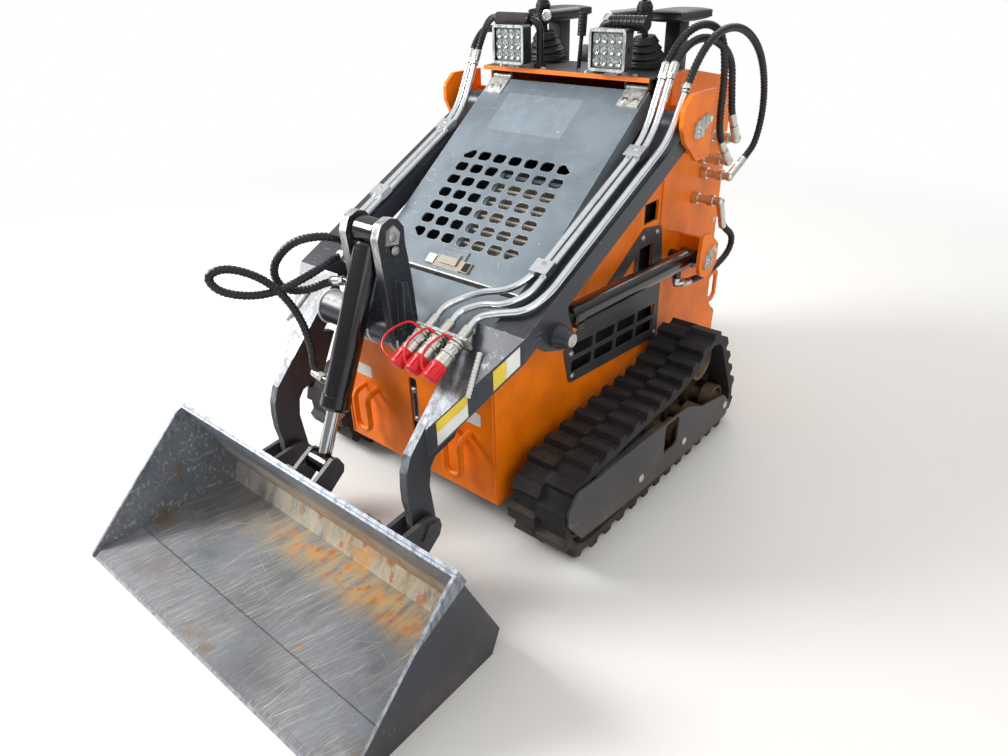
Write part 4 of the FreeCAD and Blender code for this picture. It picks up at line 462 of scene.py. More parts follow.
def ledge_colour(s, paint, metal):
    """The console sheet is chassis coloured along its front lip."""
    lip = s.times(s.span("Y", 0.3046, 0.3042), s.span("Z", 1.156, 1.153))
    return s.mix(lip, paint, tuple(bpy.context.scene.loader_finish.orange)), metal


def lamp_rim(s, paint, metal):
    """The lamp's front frame and feet are plated."""
    front = s.times(s.span("Y", 0.2745, 0.2740), s.span("Z", 1.162, 1.163))
    return paint, s.most(metal, front, s.span("Z", 1.160, 1.158))


def hood_marks(s, paint, metal):
    """Plated hinge leaves and latch, the mark of a removed plate, a rubbed lower edge and dried specks."""
    slope = Vector((0, math.cos(HOOD_SLOPE), math.sin(HOOD_SLOPE)))
    square = Vector((0, -math.sin(HOOD_SLOPE), math.cos(HOOD_SLOPE)))
    corner = mm(0, *HOOD_FRONT)
    up = s.maths("SUBTRACT", s.dot(s.where, slope), corner.dot(slope))
    out = s.maths("SUBTRACT", s.dot(s.where, square), corner.dot(square))
    proud = s.ramp(out, 0.0005, 0.0009)
    hinges = s.times(proud, s.ramp(up, 0.600, 0.601))
    paint = s.mix(s.times(proud, s.ramp(up, 0.049, 0.048)), paint, tone(168, 160, 146))
    edge = s.times(s.ramp(up, 0.005, 0.002), s.patches(20.0, 0.25, 0.4))
    plate = s.times(s.ramp(up, 0.500, 0.503), s.ramp(up, 0.650, 0.647), s.span("X", -0.180, -0.177),
                    s.span("X", 0.100, 0.097))
    residue = s.ramp(s.noise(30.0, 6.0, 0.6), 0.2, 0.8, 0.3, 0.7)
    paint = s.mix(s.times(plate, residue), paint, tinted(bpy.context.scene.loader_finish.slate, 1.5))
    specks = s.ramp(s.noise(95.0, 2.0, 0.4), 0.74, 0.76)
    paint = s.mix(s.times(specks, 0.7), paint, tone(206, 208, 206))
    return paint, s.most(metal, hinges, edge)


def bucket_steel(s, paint, metal):
    """Inside faces are worn to bare steel, with scratches, stains, rust along the bend and dried soil; the
    tan band along the bend is left out on the shaded −X side (painted shade), and the back face that looks
    forward is paler (painted sunlight over the stain).
    """
    rust = tuple(bpy.context.scene.loader_finish.rust)
    inside = s.ramp(s.dot(s.vector("SUBTRACT", BUCKET_MIDDLE, s.where), s.normal), 0.0, 0.02)
    steel = s.mix(s.patches(3.4, 0.35, 0.7), tone(114, 122, 132), tone(82, 88, 97))
    for turn, stretch, low in ((-1.35, (7, 420, 60), 0.58), (-1.15, (4, 300, 60), 0.61),
                               (-1.60, (5, 360, 60), 0.62), (-0.6, (3, 300, 60), 0.67),
                               (0.3, (4, 330, 60), 0.68)):
        spin = s.add("ShaderNodeMapping", in_Rotation=(0.0, 0.0, turn), in_Vector=s.where).outputs["Vector"]
        line = s.ramp(s.noise(1.0, 3.0, 0.55, stretch, spin), low, low + 0.05)
        scratched = s.times(line, s.patches(6.0 + turn, 0.36, 0.62), 0.5)
        steel = s.mix(scratched, steel, tone(214, 210, 194))
    low = s.span("Z", 0.22, 0.15)
    # The tan stain along the bend fades out toward −X, where the bucket lies in shade: the stain is real, the
    # fade is painted shade.
    near_bend = s.times(s.span("Y", -0.87, -0.76), low, s.span("X", -0.56, -0.12))
    runs = s.ramp(s.noise(1.0, 8.0, 0.68, (36, 5, 9)), 0.34, 0.62)
    steel = s.mix(s.times(near_bend, runs, 0.66), steel, tone(190, 168, 118))
    # A paler cream on the back face that looks forward, toward the light: painted sunlight over a stain.
    sunlit_stain = s.times(s.facing((0, -0.97, 0.26), 0.55, 0.8), low, s.span("Y", -0.95, -0.90),
                    s.ramp(s.noise(1.0, 8.0, 0.7, (26, 12, 12)), 0.28, 0.60))
    steel = s.mix(s.times(sunlit_stain, 0.55), steel, tone(216, 208, 188))
    at_bend = s.times(s.span("Y", -0.84, -0.76), low, s.span("X", -0.34, -0.05), s.span("X", 0.50, 0.24))
    halo = s.times(s.patches(11.0, 0.47, 0.60), at_bend, 0.62)
    steel = s.mix(halo, steel, tone(214, 146, 52))
    streaks = s.ramp(s.noise(1.0, 10.0, 0.75, (24, 16, 16)), 0.53, 0.60)
    steel = s.mix(s.times(streaks, at_bend, 0.85), steel, rust)
    far_rust = s.times(s.patches(9.0, 0.62, 0.67), s.span("Y", -0.80, -1.0), 0.6)
    steel = s.mix(far_rust, steel, rust)
    edges = s.most(s.span("Y", -0.98, -1.13), s.span("X", -0.30, -0.54))
    steel = s.mix(s.times(s.patches(6.0, 0.54, 0.66), edges, 0.8), steel, tone(104, 86, 68))
    colour = s.mix(inside, paint, s.mix(s.patches(5.0, 0.2, 0.34), paint, steel))
    rim = s.times(s.ramp(s.dot(s.where, (0, -0.432, 0.902)), 0.592, 0.597), s.patches(8.0, 0.16, 0.3))
    cheeks = s.times(s.cut_edges(), s.outside(0.5405, 0.5415))
    lip = s.times(s.span("Y", -1.141, -1.146), s.patches(12.0, 0.1, 0.3))
    return colour, s.most(metal, rim, cheeks, lip)


def rod_eyes(s, base):
    """The forged eyes at the ends of the chromed rods are plain dark steel."""
    side_view = s.vector("MULTIPLY", s.where, (0.0, 1.0, 1.0))
    eyes = [s.ramp(s.vector("DISTANCE", side_view, (0.0, y * MM, z * MM), "Value"), 0.0345, 0.0335)
            for y, z in (ROD_PIN, TILT_EYE)]
    return s.mix(s.most(*eyes), base, tone(74, 72, 70))


# Each finish, made from the settings f
FINISHES = {
    "orange": lambda f: painted("orange_paint", f.orange, 0.40, 0.30, 0.25, 0.16, 0.30, shine=0.25),
    "tower": lambda f: painted("tower_paint", f.orange, 0.40, 0.30, 0.25, 0.14, 0.30, shine=0.25,
                               extra=keeper_steel, bare=tone(206, 204, 200)),
    "charcoal": lambda f: painted("charcoal_paint", f.charcoal, 0.40, f.edge_wear, 0.35, 0.45, 0.45),
    "arm": lambda f: painted("arm_paint", f.charcoal, 0.36, f.edge_wear, 0.5, 0.22, 0.45, extra=arm_wear,
                             bare=tone(138, 142, 147)),
    "cross": lambda f: painted("cross_paint", f.charcoal, 0.34, f.edge_wear, 0.5, 0.25, 0.50,
                               extra=cross_wear, bare=tone(196, 196, 194)),
    "bucket": lambda f: painted("bucket_paint", f.charcoal, 0.40, 0.6, 0.5, 0.16, 0.30, extra=bucket_steel,
                                bare=tone(150, 157, 166)),
    "hood": lambda f: painted("hood_paint", f.slate, 0.34, 0.6, 0.25, 0.15, 0.30, coat=0.1, extra=hood_marks,
                              bare=tone(232, 232, 228)),
    "slate": lambda f: painted("slate_paint", f.slate, 0.34, 0.6, 0.25, 0.15, 0.30, coat=0.1),
    "console": lambda f: painted("console_paint", tone(58, 60, 66), 0.45, 0.4, 0.4, 0.45, 0.40,
                                 extra=ledge_colour),
    "cover": lambda f: painted("cover_paint", tone(58, 58, 62), 0.46, 0.5, 0.5, 0.28, 0.34),
    "barrel": lambda f: painted("barrel_paint", tone(12, 13, 16), 0.20, 0.2, 0.12, 0.10, 0.20, coat=0.4),
    "case": lambda f: painted("lamp_case", tone(26, 27, 30), 0.4, 0.3, 0.2, 0.2, 0.3, extra=lamp_rim,
                              bare=tone(196, 198, 198)),
    "reflector": lambda f: painted("lamp_reflector", tone(126, 130, 128), 0.3, 0.0, 0.1, 0.1, 0.2),
    # The cooler's tubes are near white so that each grille hole shows a bright band across it: painted
    # highlight.
    "fins": lambda f: painted("cooler_bars_painted_highlight", tone(238, 234, 224), 0.35, 0.0, 0.2, 0.25, 1.2),
    "weld": lambda f: painted("weld_metal", tone(226, 226, 220), 0.35, 0.0, 0.2, 0.10, 0.3),
    "white_label": lambda f: label("label_white", tone(226, 226, 220)),
    "yellow_label": lambda f: label("label_yellow", tone(232, 204, 60)),
    "lens": lambda f: lens("lamp_lens"),
    "radiator": lambda f: bare_metal("radiator_fins", tone(176, 166, 146), 0.4, 0.6, 0.1, 0.2, 0.2),
    "tray": lambda f: bare_metal("tray_steel", tone(150, 140, 124), 0.42, 0.5, 0.2, 0.2, 0.2, 0.4),
    "chrome": lambda f: bare_metal("bare_chrome", tone(214, 216, 218), 0.08, 1.0, 0.08, 0.3, 0.10,
                                   extra=rod_eyes),
    "zinc": lambda f: bare_metal("zinc_steel", tone(222, 221, 214), 0.24, 1.0, 0.12, 0.2, 0.18),
    "tube": lambda f: bare_metal("tube_steel", tone(232, 236, 240), 0.22, 1.0, 0.04, 0.1, 0.04),
    "pin": lambda f: bare_metal("pin_steel", tone(206, 204, 200), 0.25, 1.0, 0.3, 0.3, 0.25, 0.4),
    "wheel": lambda f: bare_metal("wheel_steel", tone(104, 86, 70), 0.55, 0.6, 0.8, 0.7, 0.25, 0.9),
    "engine": lambda f: bare_metal("cast_engine", tone(58, 58, 60), 0.55, 0.5, 0.4, 0.5, 0.25, 0.6),
    "deck": lambda f: bare_metal("deck_steel", tone(92, 92, 92), 0.5, 0.6, 0.55, 0.6, 0.25, 0.5),
    # Near black sheets that stand in for shade behind the grille, in the latch pocket and in the gauge slot:
    # painted shade.
    "screen": lambda f: rubber("painted_shade_black", tone(14, 14, 15), 0.8, 0.1, 0.2, 200.0, 0.2),
    "track": lambda f: rubber("track_rubber", tone(31, 30, 32), 0.66, 0.20, 0.28, 90.0, 0.5),
    "guard": lambda f: rubber("guard_plastic", tone(30, 30, 32), 0.36, 0.25, 0.2, 240.0, 0.1),
    "boot": lambda f: rubber("boot_rubber", tone(24, 24, 26), 0.5, 0.2, 0.2, 200.0, 0.5, ("Z", 34.0)),
    "foam": lambda f: rubber("grip_foam", tone(58, 54, 51), 0.85, 0.35, 0.2, 520.0, 0.55),
    "tape": lambda f: rubber("grip_tape", tone(22, 22, 25), 0.22, 0.1, 0.2, 60.0, 0.8, ("X", 24.0)),
    "pad": lambda f: rubber("pad_vinyl", tone(32, 32, 34), 0.5, 0.4, 0.2, 420.0, 0.35),
    "plastic": lambda f: rubber("black_plastic", tone(24, 25, 27), 0.36, 0.2, 0.2, 340.0, 0.12),
    "red": lambda f: rubber("cap_red", tone(196, 26, 34), 0.34, 0.15, 0.2, 160.0, 0.1),
}
MATERIALS = {}


def dress(obj, finish):
    """Gives an object its finish, which is made the first time it is asked for."""
    if finish not in MATERIALS:
        MATERIALS[finish] = FINISHES[finish](bpy.context.scene.loader_finish)
    obj.data.materials.clear()
    obj.data.materials.append(MATERIALS[finish])


def both(*names):
    """The left and the right node of each name."""
    return ["%s_%s" % (name, hand) for name in names for hand in ("left", "right")]


# The solids that stay in view, by finish
FINISH_NODES = {
    "orange": ["front_panel", "rear_wall"] + both("side_panel"),
    "tower": both("pivot_bracket"),
    "charcoal": ["belly_plate"],
    "console": ["console_top"],
    "slate": ["hood_lower_panel"],
    "hood": ["hood"],
    "engine": ["engine_block"],
    "cover": ["attach_plate"] + both("vent_plate", "track_frame"),
    "deck": ["platform"],
    "case": ["work_lights"],
    "plastic": ["grip_bars"],
    "boot": ["hand_controls"],
    "track": both("track"),
    "wheel": both("track_wheels"),
    "arm": both("arm"),
    "cross": ["cross_member"],
    "zinc": ["couplers", "panel_fittings"],
    "tube": ["arm_tubes"],
    "barrel": ["tilt_barrel"] + both("lift_barrel"),
    "chrome": ["tilt_rod"] + both("lift_rod"),
    "bucket": ["bucket"],
}


# Mesh building blocks

def new_piece(name, verts, faces, finish, smooth=True):
    mesh = bpy.data.meshes.new(name)
    mesh.from_pydata([tuple(v) for v in verts], [], faces)
    mesh.validate()
    mesh.update()
    if smooth:
        mesh.polygons.foreach_set("use_smooth", [True] * len(mesh.polygons))
    obj = bpy.data.objects.new(name, mesh)
    bpy.context.scene.collection.objects.link(obj)
    dress(obj, finish)
    return obj


def sharpen(obj):
    """Keeps corners crisp on a smooth mesh."""
    mesh = bmesh.new()
    mesh.from_mesh(obj.data)
    for edge in mesh.edges:
        if len(edge.link_faces) == 2 and edge.calc_face_angle(0.0) > CRISP_ANGLE:
            edge.smooth = False
    mesh.to_mesh(obj.data)
    mesh.free()


class Pile:
    """Verts and faces of many small things that become one piece."""

    def __init__(self):
        self.verts = []
        self.faces = []

    def put(self, verts, faces):
        first = len(self.verts)
        self.verts += [Vector(v) for v in verts]
        self.faces += [[i + first for i in face] for face in faces]

    def rings(self, verts, sides):
        """Closes rings of verts, each with the same number of sides, into a capped skin."""
        count = len(verts) // sides
        faces = []
        for ring in range(count - 1):
            for k in range(sides):
                a, b = ring * sides + k, ring * sides + (k + 1) % sides
                faces.append([a, b, b + sides, a + sides])
        faces.append(list(range(sides))[::-1])
        faces.append([(count - 1) * sides + k for k in range(sides)])
        self.put(verts, faces)

    def turn(self, profile, at, toward, sides=20):
        """A profile of (radius, height) turned about a line from at along toward."""
        turn = Vector(toward).normalized().to_track_quat("Z", "Y").to_matrix()
        verts = []
        for radius, height in profile:
            for k in range(sides):
                angle = 2 * math.pi * k / sides
                spot = Vector((radius * math.cos(angle), radius * math.sin(angle), height))
                verts.append(Vector(at) + turn @ spot)
        self.rings(verts, sides)

    def bolt(self, at, toward, radius):
        """A hexagon head on a washer, sunk slightly into what it holds."""
        self.turn([(radius * 1.35, -0.001), (radius * 1.35, 0.0012), (radius * 1.28, 0.0016)], at, toward, 18)
        self.turn([(radius, 0.0012), (radius, radius * 0.62), (radius * 0.86, radius * 0.74)], at, toward, 6)

    def box(self, low, high, chamfer):
        """A block with cut edges."""
        made = bmesh.new()
        bmesh.ops.create_cube(made, size=1.0)
        middle = (Vector(low) + Vector(high)) / 2
        size = Vector(high) - Vector(low)
        for vert in made.verts:
            vert.co = Vector(a * b for a, b in zip(vert.co, size)) + middle
        bmesh.ops.bevel(made, geom=made.edges[:], offset=chamfer, segments=2, affect="EDGES", profile=0.6)
        made.verts.ensure_lookup_table()
        self.put([v.co.copy() for v in made.verts], [[v.index for v in f.verts] for f in made.faces])
        made.free()

    def prism(self, first, second):
        """A flat-sided body between two outlines; the first one is seen from outside in its own order."""
        count = len(first)
        sides = [[k, k + count, (k + 1) % count + count, (k + 1) % count] for k in range(count)]
        ends = [list(range(count)), list(range(count, 2 * count))[::-1]]
        self.put(list(first) + list(second), ends + sides)

    def slab(self, x, up, out):
        """A block in the hood's own directions; x, up and out are pairs of limits."""
        first, second = ([on_hood(at, a, b) for a, b in zip((up[0], up[0], up[1], up[1]),
                                                            (out[0], out[1], out[1], out[0]))] for at in x)
        self.prism(first, second)

    def sheet(self, corners, outward, thick=0.0005, rise=0.0002):
        """A thin plate that stands proud of what it sticks to."""
        out = Vector(outward).normalized()
        front = [Vector(c) + out * (rise + thick) for c in corners]
        self.prism(front, [Vector(c) + out * rise for c in corners])

    def sweep(self, line, radius_at, sides):
        """A tube along a fine line; radius_at(distance, angle) gives its radius."""
        line = [Vector(p) for p in line]
        last = len(line) - 1
        tangents = [(line[min(i + 1, last)] - line[max(i - 1, 0)]).normalized() for i in range(len(line))]
        side = tangents[0].orthogonal().normalized()
        verts = []
        travelled = 0.0
        for i, (point, tangent) in enumerate(zip(line, tangents)):
            if i:
                travelled += (point - line[i - 1]).length
                side = (side - tangent * side.dot(tangent)).normalized()
            other = tangent.cross(side)
            for k in range(sides):
                angle = 2 * math.pi * k / sides
                radius = radius_at(travelled, angle)
                verts.append(point + (side * math.cos(angle) + other * math.sin(angle)) * radius)
        self.rings(verts, sides)

    def tube(self, line, radius, sides):
        self.sweep(line, lambda travelled, angle: radius, sides)

    def piece(self, name, finish, body, slot, smooth=True):
        obj = new_piece(name, self.verts, self.faces, finish, smooth)
        if smooth:
            sharpen(obj)
        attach(obj, body)
        return obj


def smooth_line(points, step):
    """Evenly spaced points along the smooth curve that a route of control points gives."""
    curve = bpy.data.curves.new("route", "CURVE")
    curve.dimensions = "3D"
    curve.resolution_u = 24
    spline = curve.splines.new("NURBS")
    spline.points.add(len(points) - 1)
    for spot, point in zip(spline.points, points):
        spot.co = (*point, 1.0)
    spline.order_u = 3
    spline.use_endpoint_u = True
    holder = bpy.data.objects.new("route", curve)
    bpy.context.scene.collection.objects.link(holder)
    bpy.context.view_layer.update()
    mesh = bpy.data.meshes.new_from_object(holder)
    line = np.array([v.co for v in mesh.vertices], float)
    bpy.data.objects.remove(holder)
    bpy.data.meshes.remove(mesh)
    bpy.data.curves.remove(curve)
    steps = np.linalg.norm(np.diff(line, axis=0), axis=1)
    line = line[np.concatenate([[True], steps > 1e-7])]
    reach = np.concatenate([[0.0], np.cumsum(np.linalg.norm(np.diff(line, axis=0), axis=1))])
    count = max(4, int(round(reach[-1] / step)))
    wanted = np.linspace(0, reach[-1], count + 1)
    return [Vector([np.interp(w, reach, line[:, axis]) for axis in range(3)]) for w in wanted]


def straight_line(spots, step):
    """Points along straight runs between spots."""
    line = []
    for first, second in zip(spots, spots[1:]):
        count = max(2, int((second - first).length / step))
        line += [first.lerp(second, k / count) for k in range(count)]
    return line + [spots[-1]]


class LOADER_OT_finishes(bpy.types.Operator):
    """Give every solid its finish"""
    bl_idname = "loader.finishes"
    bl_label = "Finishes"

    def execute(self, context):
        for finish, nodes in FINISH_NODES.items():
            for node in nodes:
                dress(NODES[node], finish)
        return {"FINISHED"}


# Hose routes, the same control points as the solids, in millimetres
PIVOT_ROUTES = [
    [(335, 298.4, 1150.8), (335, 332, 1217), (366, 420, 1284), (392, 516, 1262), (402, 545, 1150),
     (404, 538, 1024), (PORT_REACH, 560, 958), (PORT_REACH, 597.7, 920.3)],
    [(360, 300.5, 1153), (360, 332, 1215), (385, 430, 1256), (400, 580, 1194), (403, 604, 1086),
     (PORT_REACH, 620, 1024.5), (PORT_REACH, 645.8, 987.4)],
    [(405, 303.4, 1120.8), (405, 352, 1198), (414, 450, 1266), (420, 600, 1262), (424, 740, 1180),
     (422, 816, 1040), (412, 820, 910), (PORT_REACH, 768, 868.7), (PORT_REACH, 714.5, 847.2)],
]
LIFT_ROUTE = [(403, 640.2, 705.6), (403, 657, 667), (414, 728, 622), (412, 720, 566), (404, 640, 532),
              (392, 540, 518), (380, 450, 530)]
LIFT_ELBOW = [(364, 441, 554), (364, 441, 528), (367, 442, 525), (386, 455, 531)]
TILT_ROUTES = [
    [(-99.9, -440.4, 800.3), (-92, -475.4, 832.1), (-104, -540, 862), (-160, -596, 848), (-207, -632, 780),
     (-196, -616, 718), (-146, -574, 716), (-104, -532, 740), (-59, -522, 748)],
    [(-124.8, -452.4, 770.2), (-111.3, -485.6, 797.4), (-128, -560, 764), (-182, -664, 722),
     (-226, -762, 748), (-242, -790, 800), (-212, -742, 818), (-180, -660, 764), (-146, -616, 676),
     (-112, -612, 580), (-104, -626, 515), (-59, -628, 511)],
]


class LOADER_OT_hoses(bpy.types.Operator):
    """Build the pressure hoses with their spiral guards and swaged ends"""
    bl_idname = "loader.hoses"
    bl_label = "Hoses"

    def hose(self, name, route, hand=1):
        """A hose with a spiral guard as one piece, and its middle line."""
        sizes = bpy.context.scene.loader_sizes
        line = smooth_line([mm(x * hand, y, z) for x, y, z in route], 0.003)
        pile = Pile()
        turn = 2 * math.pi

        def radius_at(travelled, angle):
            phase = travelled / sizes.guard_pitch - angle / turn
            return sizes.hose_radius + sizes.guard_rise * max(0.0, math.sin(turn * phase)) ** 0.5

        pile.sweep(line, radius_at, 14)
        return new_piece(name, pile.verts, pile.faces, "guard"), line

    def ferrule(self, pile, line, rings=3):
        """The swaged end of a hose with its nut and a few crimped rings; one ring makes a slim end."""
        start, toward = line[0], (line[3] - line[0]).normalized()
        wide = bpy.context.scene.loader_sizes.hose_radius
        nut = 1.32 if rings > 1 else 1.16
        pile.turn([(wide * 0.9, 0.0), (wide * nut, 0.001), (wide * nut, 0.014)], start, toward, 6)
        profile = []
        for ring in range(rings):
            foot = 0.013 + 0.010 * ring
            profile += [(wide * (nut - 0.10), foot), (wide * (nut - 0.02), foot + 0.003),
                        (wide * (nut - 0.02), foot + 0.009)]
        pile.turn(profile + [(wide * 1.12, profile[-1][1] + 0.003)], start, toward)

    def execute(self, context):
        radius = context.scene.loader_sizes.hose_radius
        on_arms, on_chassis, on_barrel = Pile(), Pile(), Pile()
        for hand, side, routes in ((1, "left", PIVOT_ROUTES), (-1, "right", PIVOT_ROUTES[:2])):
            first = None
            for number, route in enumerate(routes):
                piece, line = self.hose("pivot_hose_%s_%d" % (side, number + 1), route, hand)
                self.ferrule(on_arms, line, 1 if number == 2 else 3)
                self.ferrule(on_chassis, line[::-1])
                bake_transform(piece)
                first = first or piece
            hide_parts("pivot_hoses_%s" % side)
        for number, route in enumerate(TILT_ROUTES):
            piece, line = self.hose("tilt_hose_%d" % (number + 1), route)
            self.ferrule(on_arms, line)
            self.ferrule(on_barrel, line[::-1])
            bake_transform(piece)
            if number == 0:
                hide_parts("tilt_hoses")
        for hand, side in ((1, "left"), (-1, "right")):
            on_lift = Pile()
            piece, line = self.hose("cylinder_hose_%s_1" % side, LIFT_ROUTE, hand)
            self.ferrule(on_chassis, line)
            self.ferrule(on_lift, line[::-1])
            elbow = smooth_line([mm(x * hand, y, z) for x, y, z in LIFT_ELBOW], 0.002)
            on_lift.tube(elbow, radius, 16)
            on_lift.turn([(0.0125, 0.0), (0.0138, 0.001), (0.0138, 0.013), (0.0125, 0.014)], elbow[2],
                         (0, 0, -1), 6)
            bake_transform(piece)
            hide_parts("cylinder_hose_%s" % side)
            on_lift.piece("hose_end_lift_barrel_%s" % side, "zinc", "lift_barrel_%s" % side, "zinc_steel")
        on_arms.piece("hose_ends_arms", "zinc", "arms", "zinc_steel")
        on_chassis.piece("hose_ends_chassis", "zinc", "chassis", "zinc_steel")
        on_barrel.piece("hose_ends_tilt_barrel", "zinc", "tilt_barrel", "zinc_steel")
        return {"FINISHED"}


class LOADER_OT_fasteners(bpy.types.Operator):
    """Add bolts, pin ends, grease points and weld beads"""
    bl_idname = "loader.fasteners"
    bl_label = "Fasteners and welds"

    def execute(self, context):
        size = context.scene.loader_sizes.bolt_radius
        chassis, arms, hood, bucket = Pile(), Pile(), Pile(), Pile()
        for hand in (1, -1):
            out = (hand, 0, 0)
            for y, z in ((-12, 108), (252, 97), (548, 88)):
                at = mm(TRACK_FACE * hand, y, z)
                chassis.turn([(0.013, -0.001), (0.013, 0.003), (0.010, 0.0055)], at, out)
                chassis.turn([(0.006, 0.002), (0.005, 0.0068)], at, out, 6)
            for y, z in ((393, 1048), (527, 633)):
                chassis.bolt(mm((TOWER_FACE + 1) * hand, y, z), out, size)
            for pin in (ARM_PIVOT, BARREL_PIN):
                at = mm(TOWER_FACE * hand, *pin)
                chassis.turn([(0.0115, -0.012), (0.0115, -0.001), (0.010, 0.0005)], at, out, 24)
                chassis.turn([(0.0035, 0.0), (0.0035, 0.005), (0.002, 0.009)], at, out, 10)
            for y, z in ((-44, 386), (428, 344), (396, 700), (-52, 462), (312, 702), (428, 560)):
                chassis.bolt(mm(SIDE_FACE * hand, y, z), out, size * 0.7)
            for y, z in ((470, 1110), (470, 980), (790, 1030), (790, 640)):
                chassis.bolt(mm(SIDE_FACE * hand, y, z), out, size * 0.75)
            for x in (228, 262):
                hood.bolt(on_hood(x * hand, 662, 4), on_hood(0, 0, 1) - on_hood(0, 0, 0), size * 0.75)
            arms.turn([(0.0170, -0.003), (0.0170, 0.0010), (0.0150, 0.0026), (0.0110, 0.0026),
                       (0.0100, 0.0006)], mm(466 * hand, *ROD_PIN), out, 28)
            bucket.bolt(mm(285 * hand, BUCKET_PIN[0] + 2, BUCKET_PIN[1]), out, size * 1.1)
            arms.bolt(mm(75.5 * hand, TILT_TOP[0] + 3, TILT_TOP[1] - 34), out, size * 0.9)
            arms.turn([(0.012, -0.002), (0.012, 0.001), (0.010, 0.002)], mm(75 * hand, *TILT_TOP), out, 24)
        up = Vector((0, -math.sin(ARM_LEAN), math.cos(ARM_LEAN)))
        for x, y in ((348, 171), (348, -234), (-348, 171), (-348, -126)):
            arm_top = WEDGE[0][3] + (y - WEDGE[0][1]) * ARM_RISE
            arms.bolt(mm(x, y, arm_top + CLAMP_HEIGHT) - up * 0.0035, up, size * 0.85)
        for x in (-240, -80, 80, 240):
            chassis.bolt(mm(x, 322, 1151), (0, 0, 1), size * 0.7)
        for x in (-270, 270):
            for z in (430, 700, 960):
                chassis.bolt(mm(x, 820, z), (0, 1, 0), size * 0.75)
        chassis.piece("bolts_chassis", "zinc", "chassis", "zinc_steel")
        arms.piece("bolts_arms", "pin", "arms", "zinc_steel")
        hood.piece("bolts_hood", "zinc", "hood", "zinc_steel")
        bucket.piece("bolts_bucket", "pin", "bucket_tool", "zinc_steel")
        self.weld_beads()
        return {"FINISHED"}

    def weld_beads(self):
        """Rippled beads where the plates meet."""
        def ripple(radius):
            return lambda travelled, angle: radius * (0.68 + 0.32 * abs(math.sin(travelled / 0.0028)))

        def around_tube(x, start, end, count):
            y, z = CROSS_TUBE
            return [mm(x, y + CROSS_RADIUS * math.cos(a), z + CROSS_RADIUS * math.sin(a))
                    for a in np.linspace(start, end, count)]

        arm_welds, front_welds = Pile(), Pile()
        for hand in (1, -1):
            arm_welds.sweep(around_tube(249 * hand, 0.3, 1.6 * math.pi, 60), ripple(0.004), 8)
            for x in (71.5, 43.5):
                bead = around_tube(x * hand, 0.95 * math.pi, 1.5 * math.pi, 30)
                arm_welds.sweep(bead, ripple(0.0036), 8)
            front = [mm(298 * hand, -384, 130), mm(298 * hand, -384, 500)]
            front_welds.sweep(straight_line(front, 0.002), ripple(0.003), 8)
            seam = [mm(324 * hand, -449, 636), mm(335 * hand, -485, 599), mm(342 * hand, -505, 579),
                    mm(349 * hand, -526, 558)]
            arm_welds.sweep(straight_line(seam, 0.002), ripple(0.0075), 10)
        arm_welds.piece("weld_beads_arms", "weld", "arms", "charcoal_paint")
        front_welds.piece("weld_beads_front", "orange", "chassis", "orange_paint")


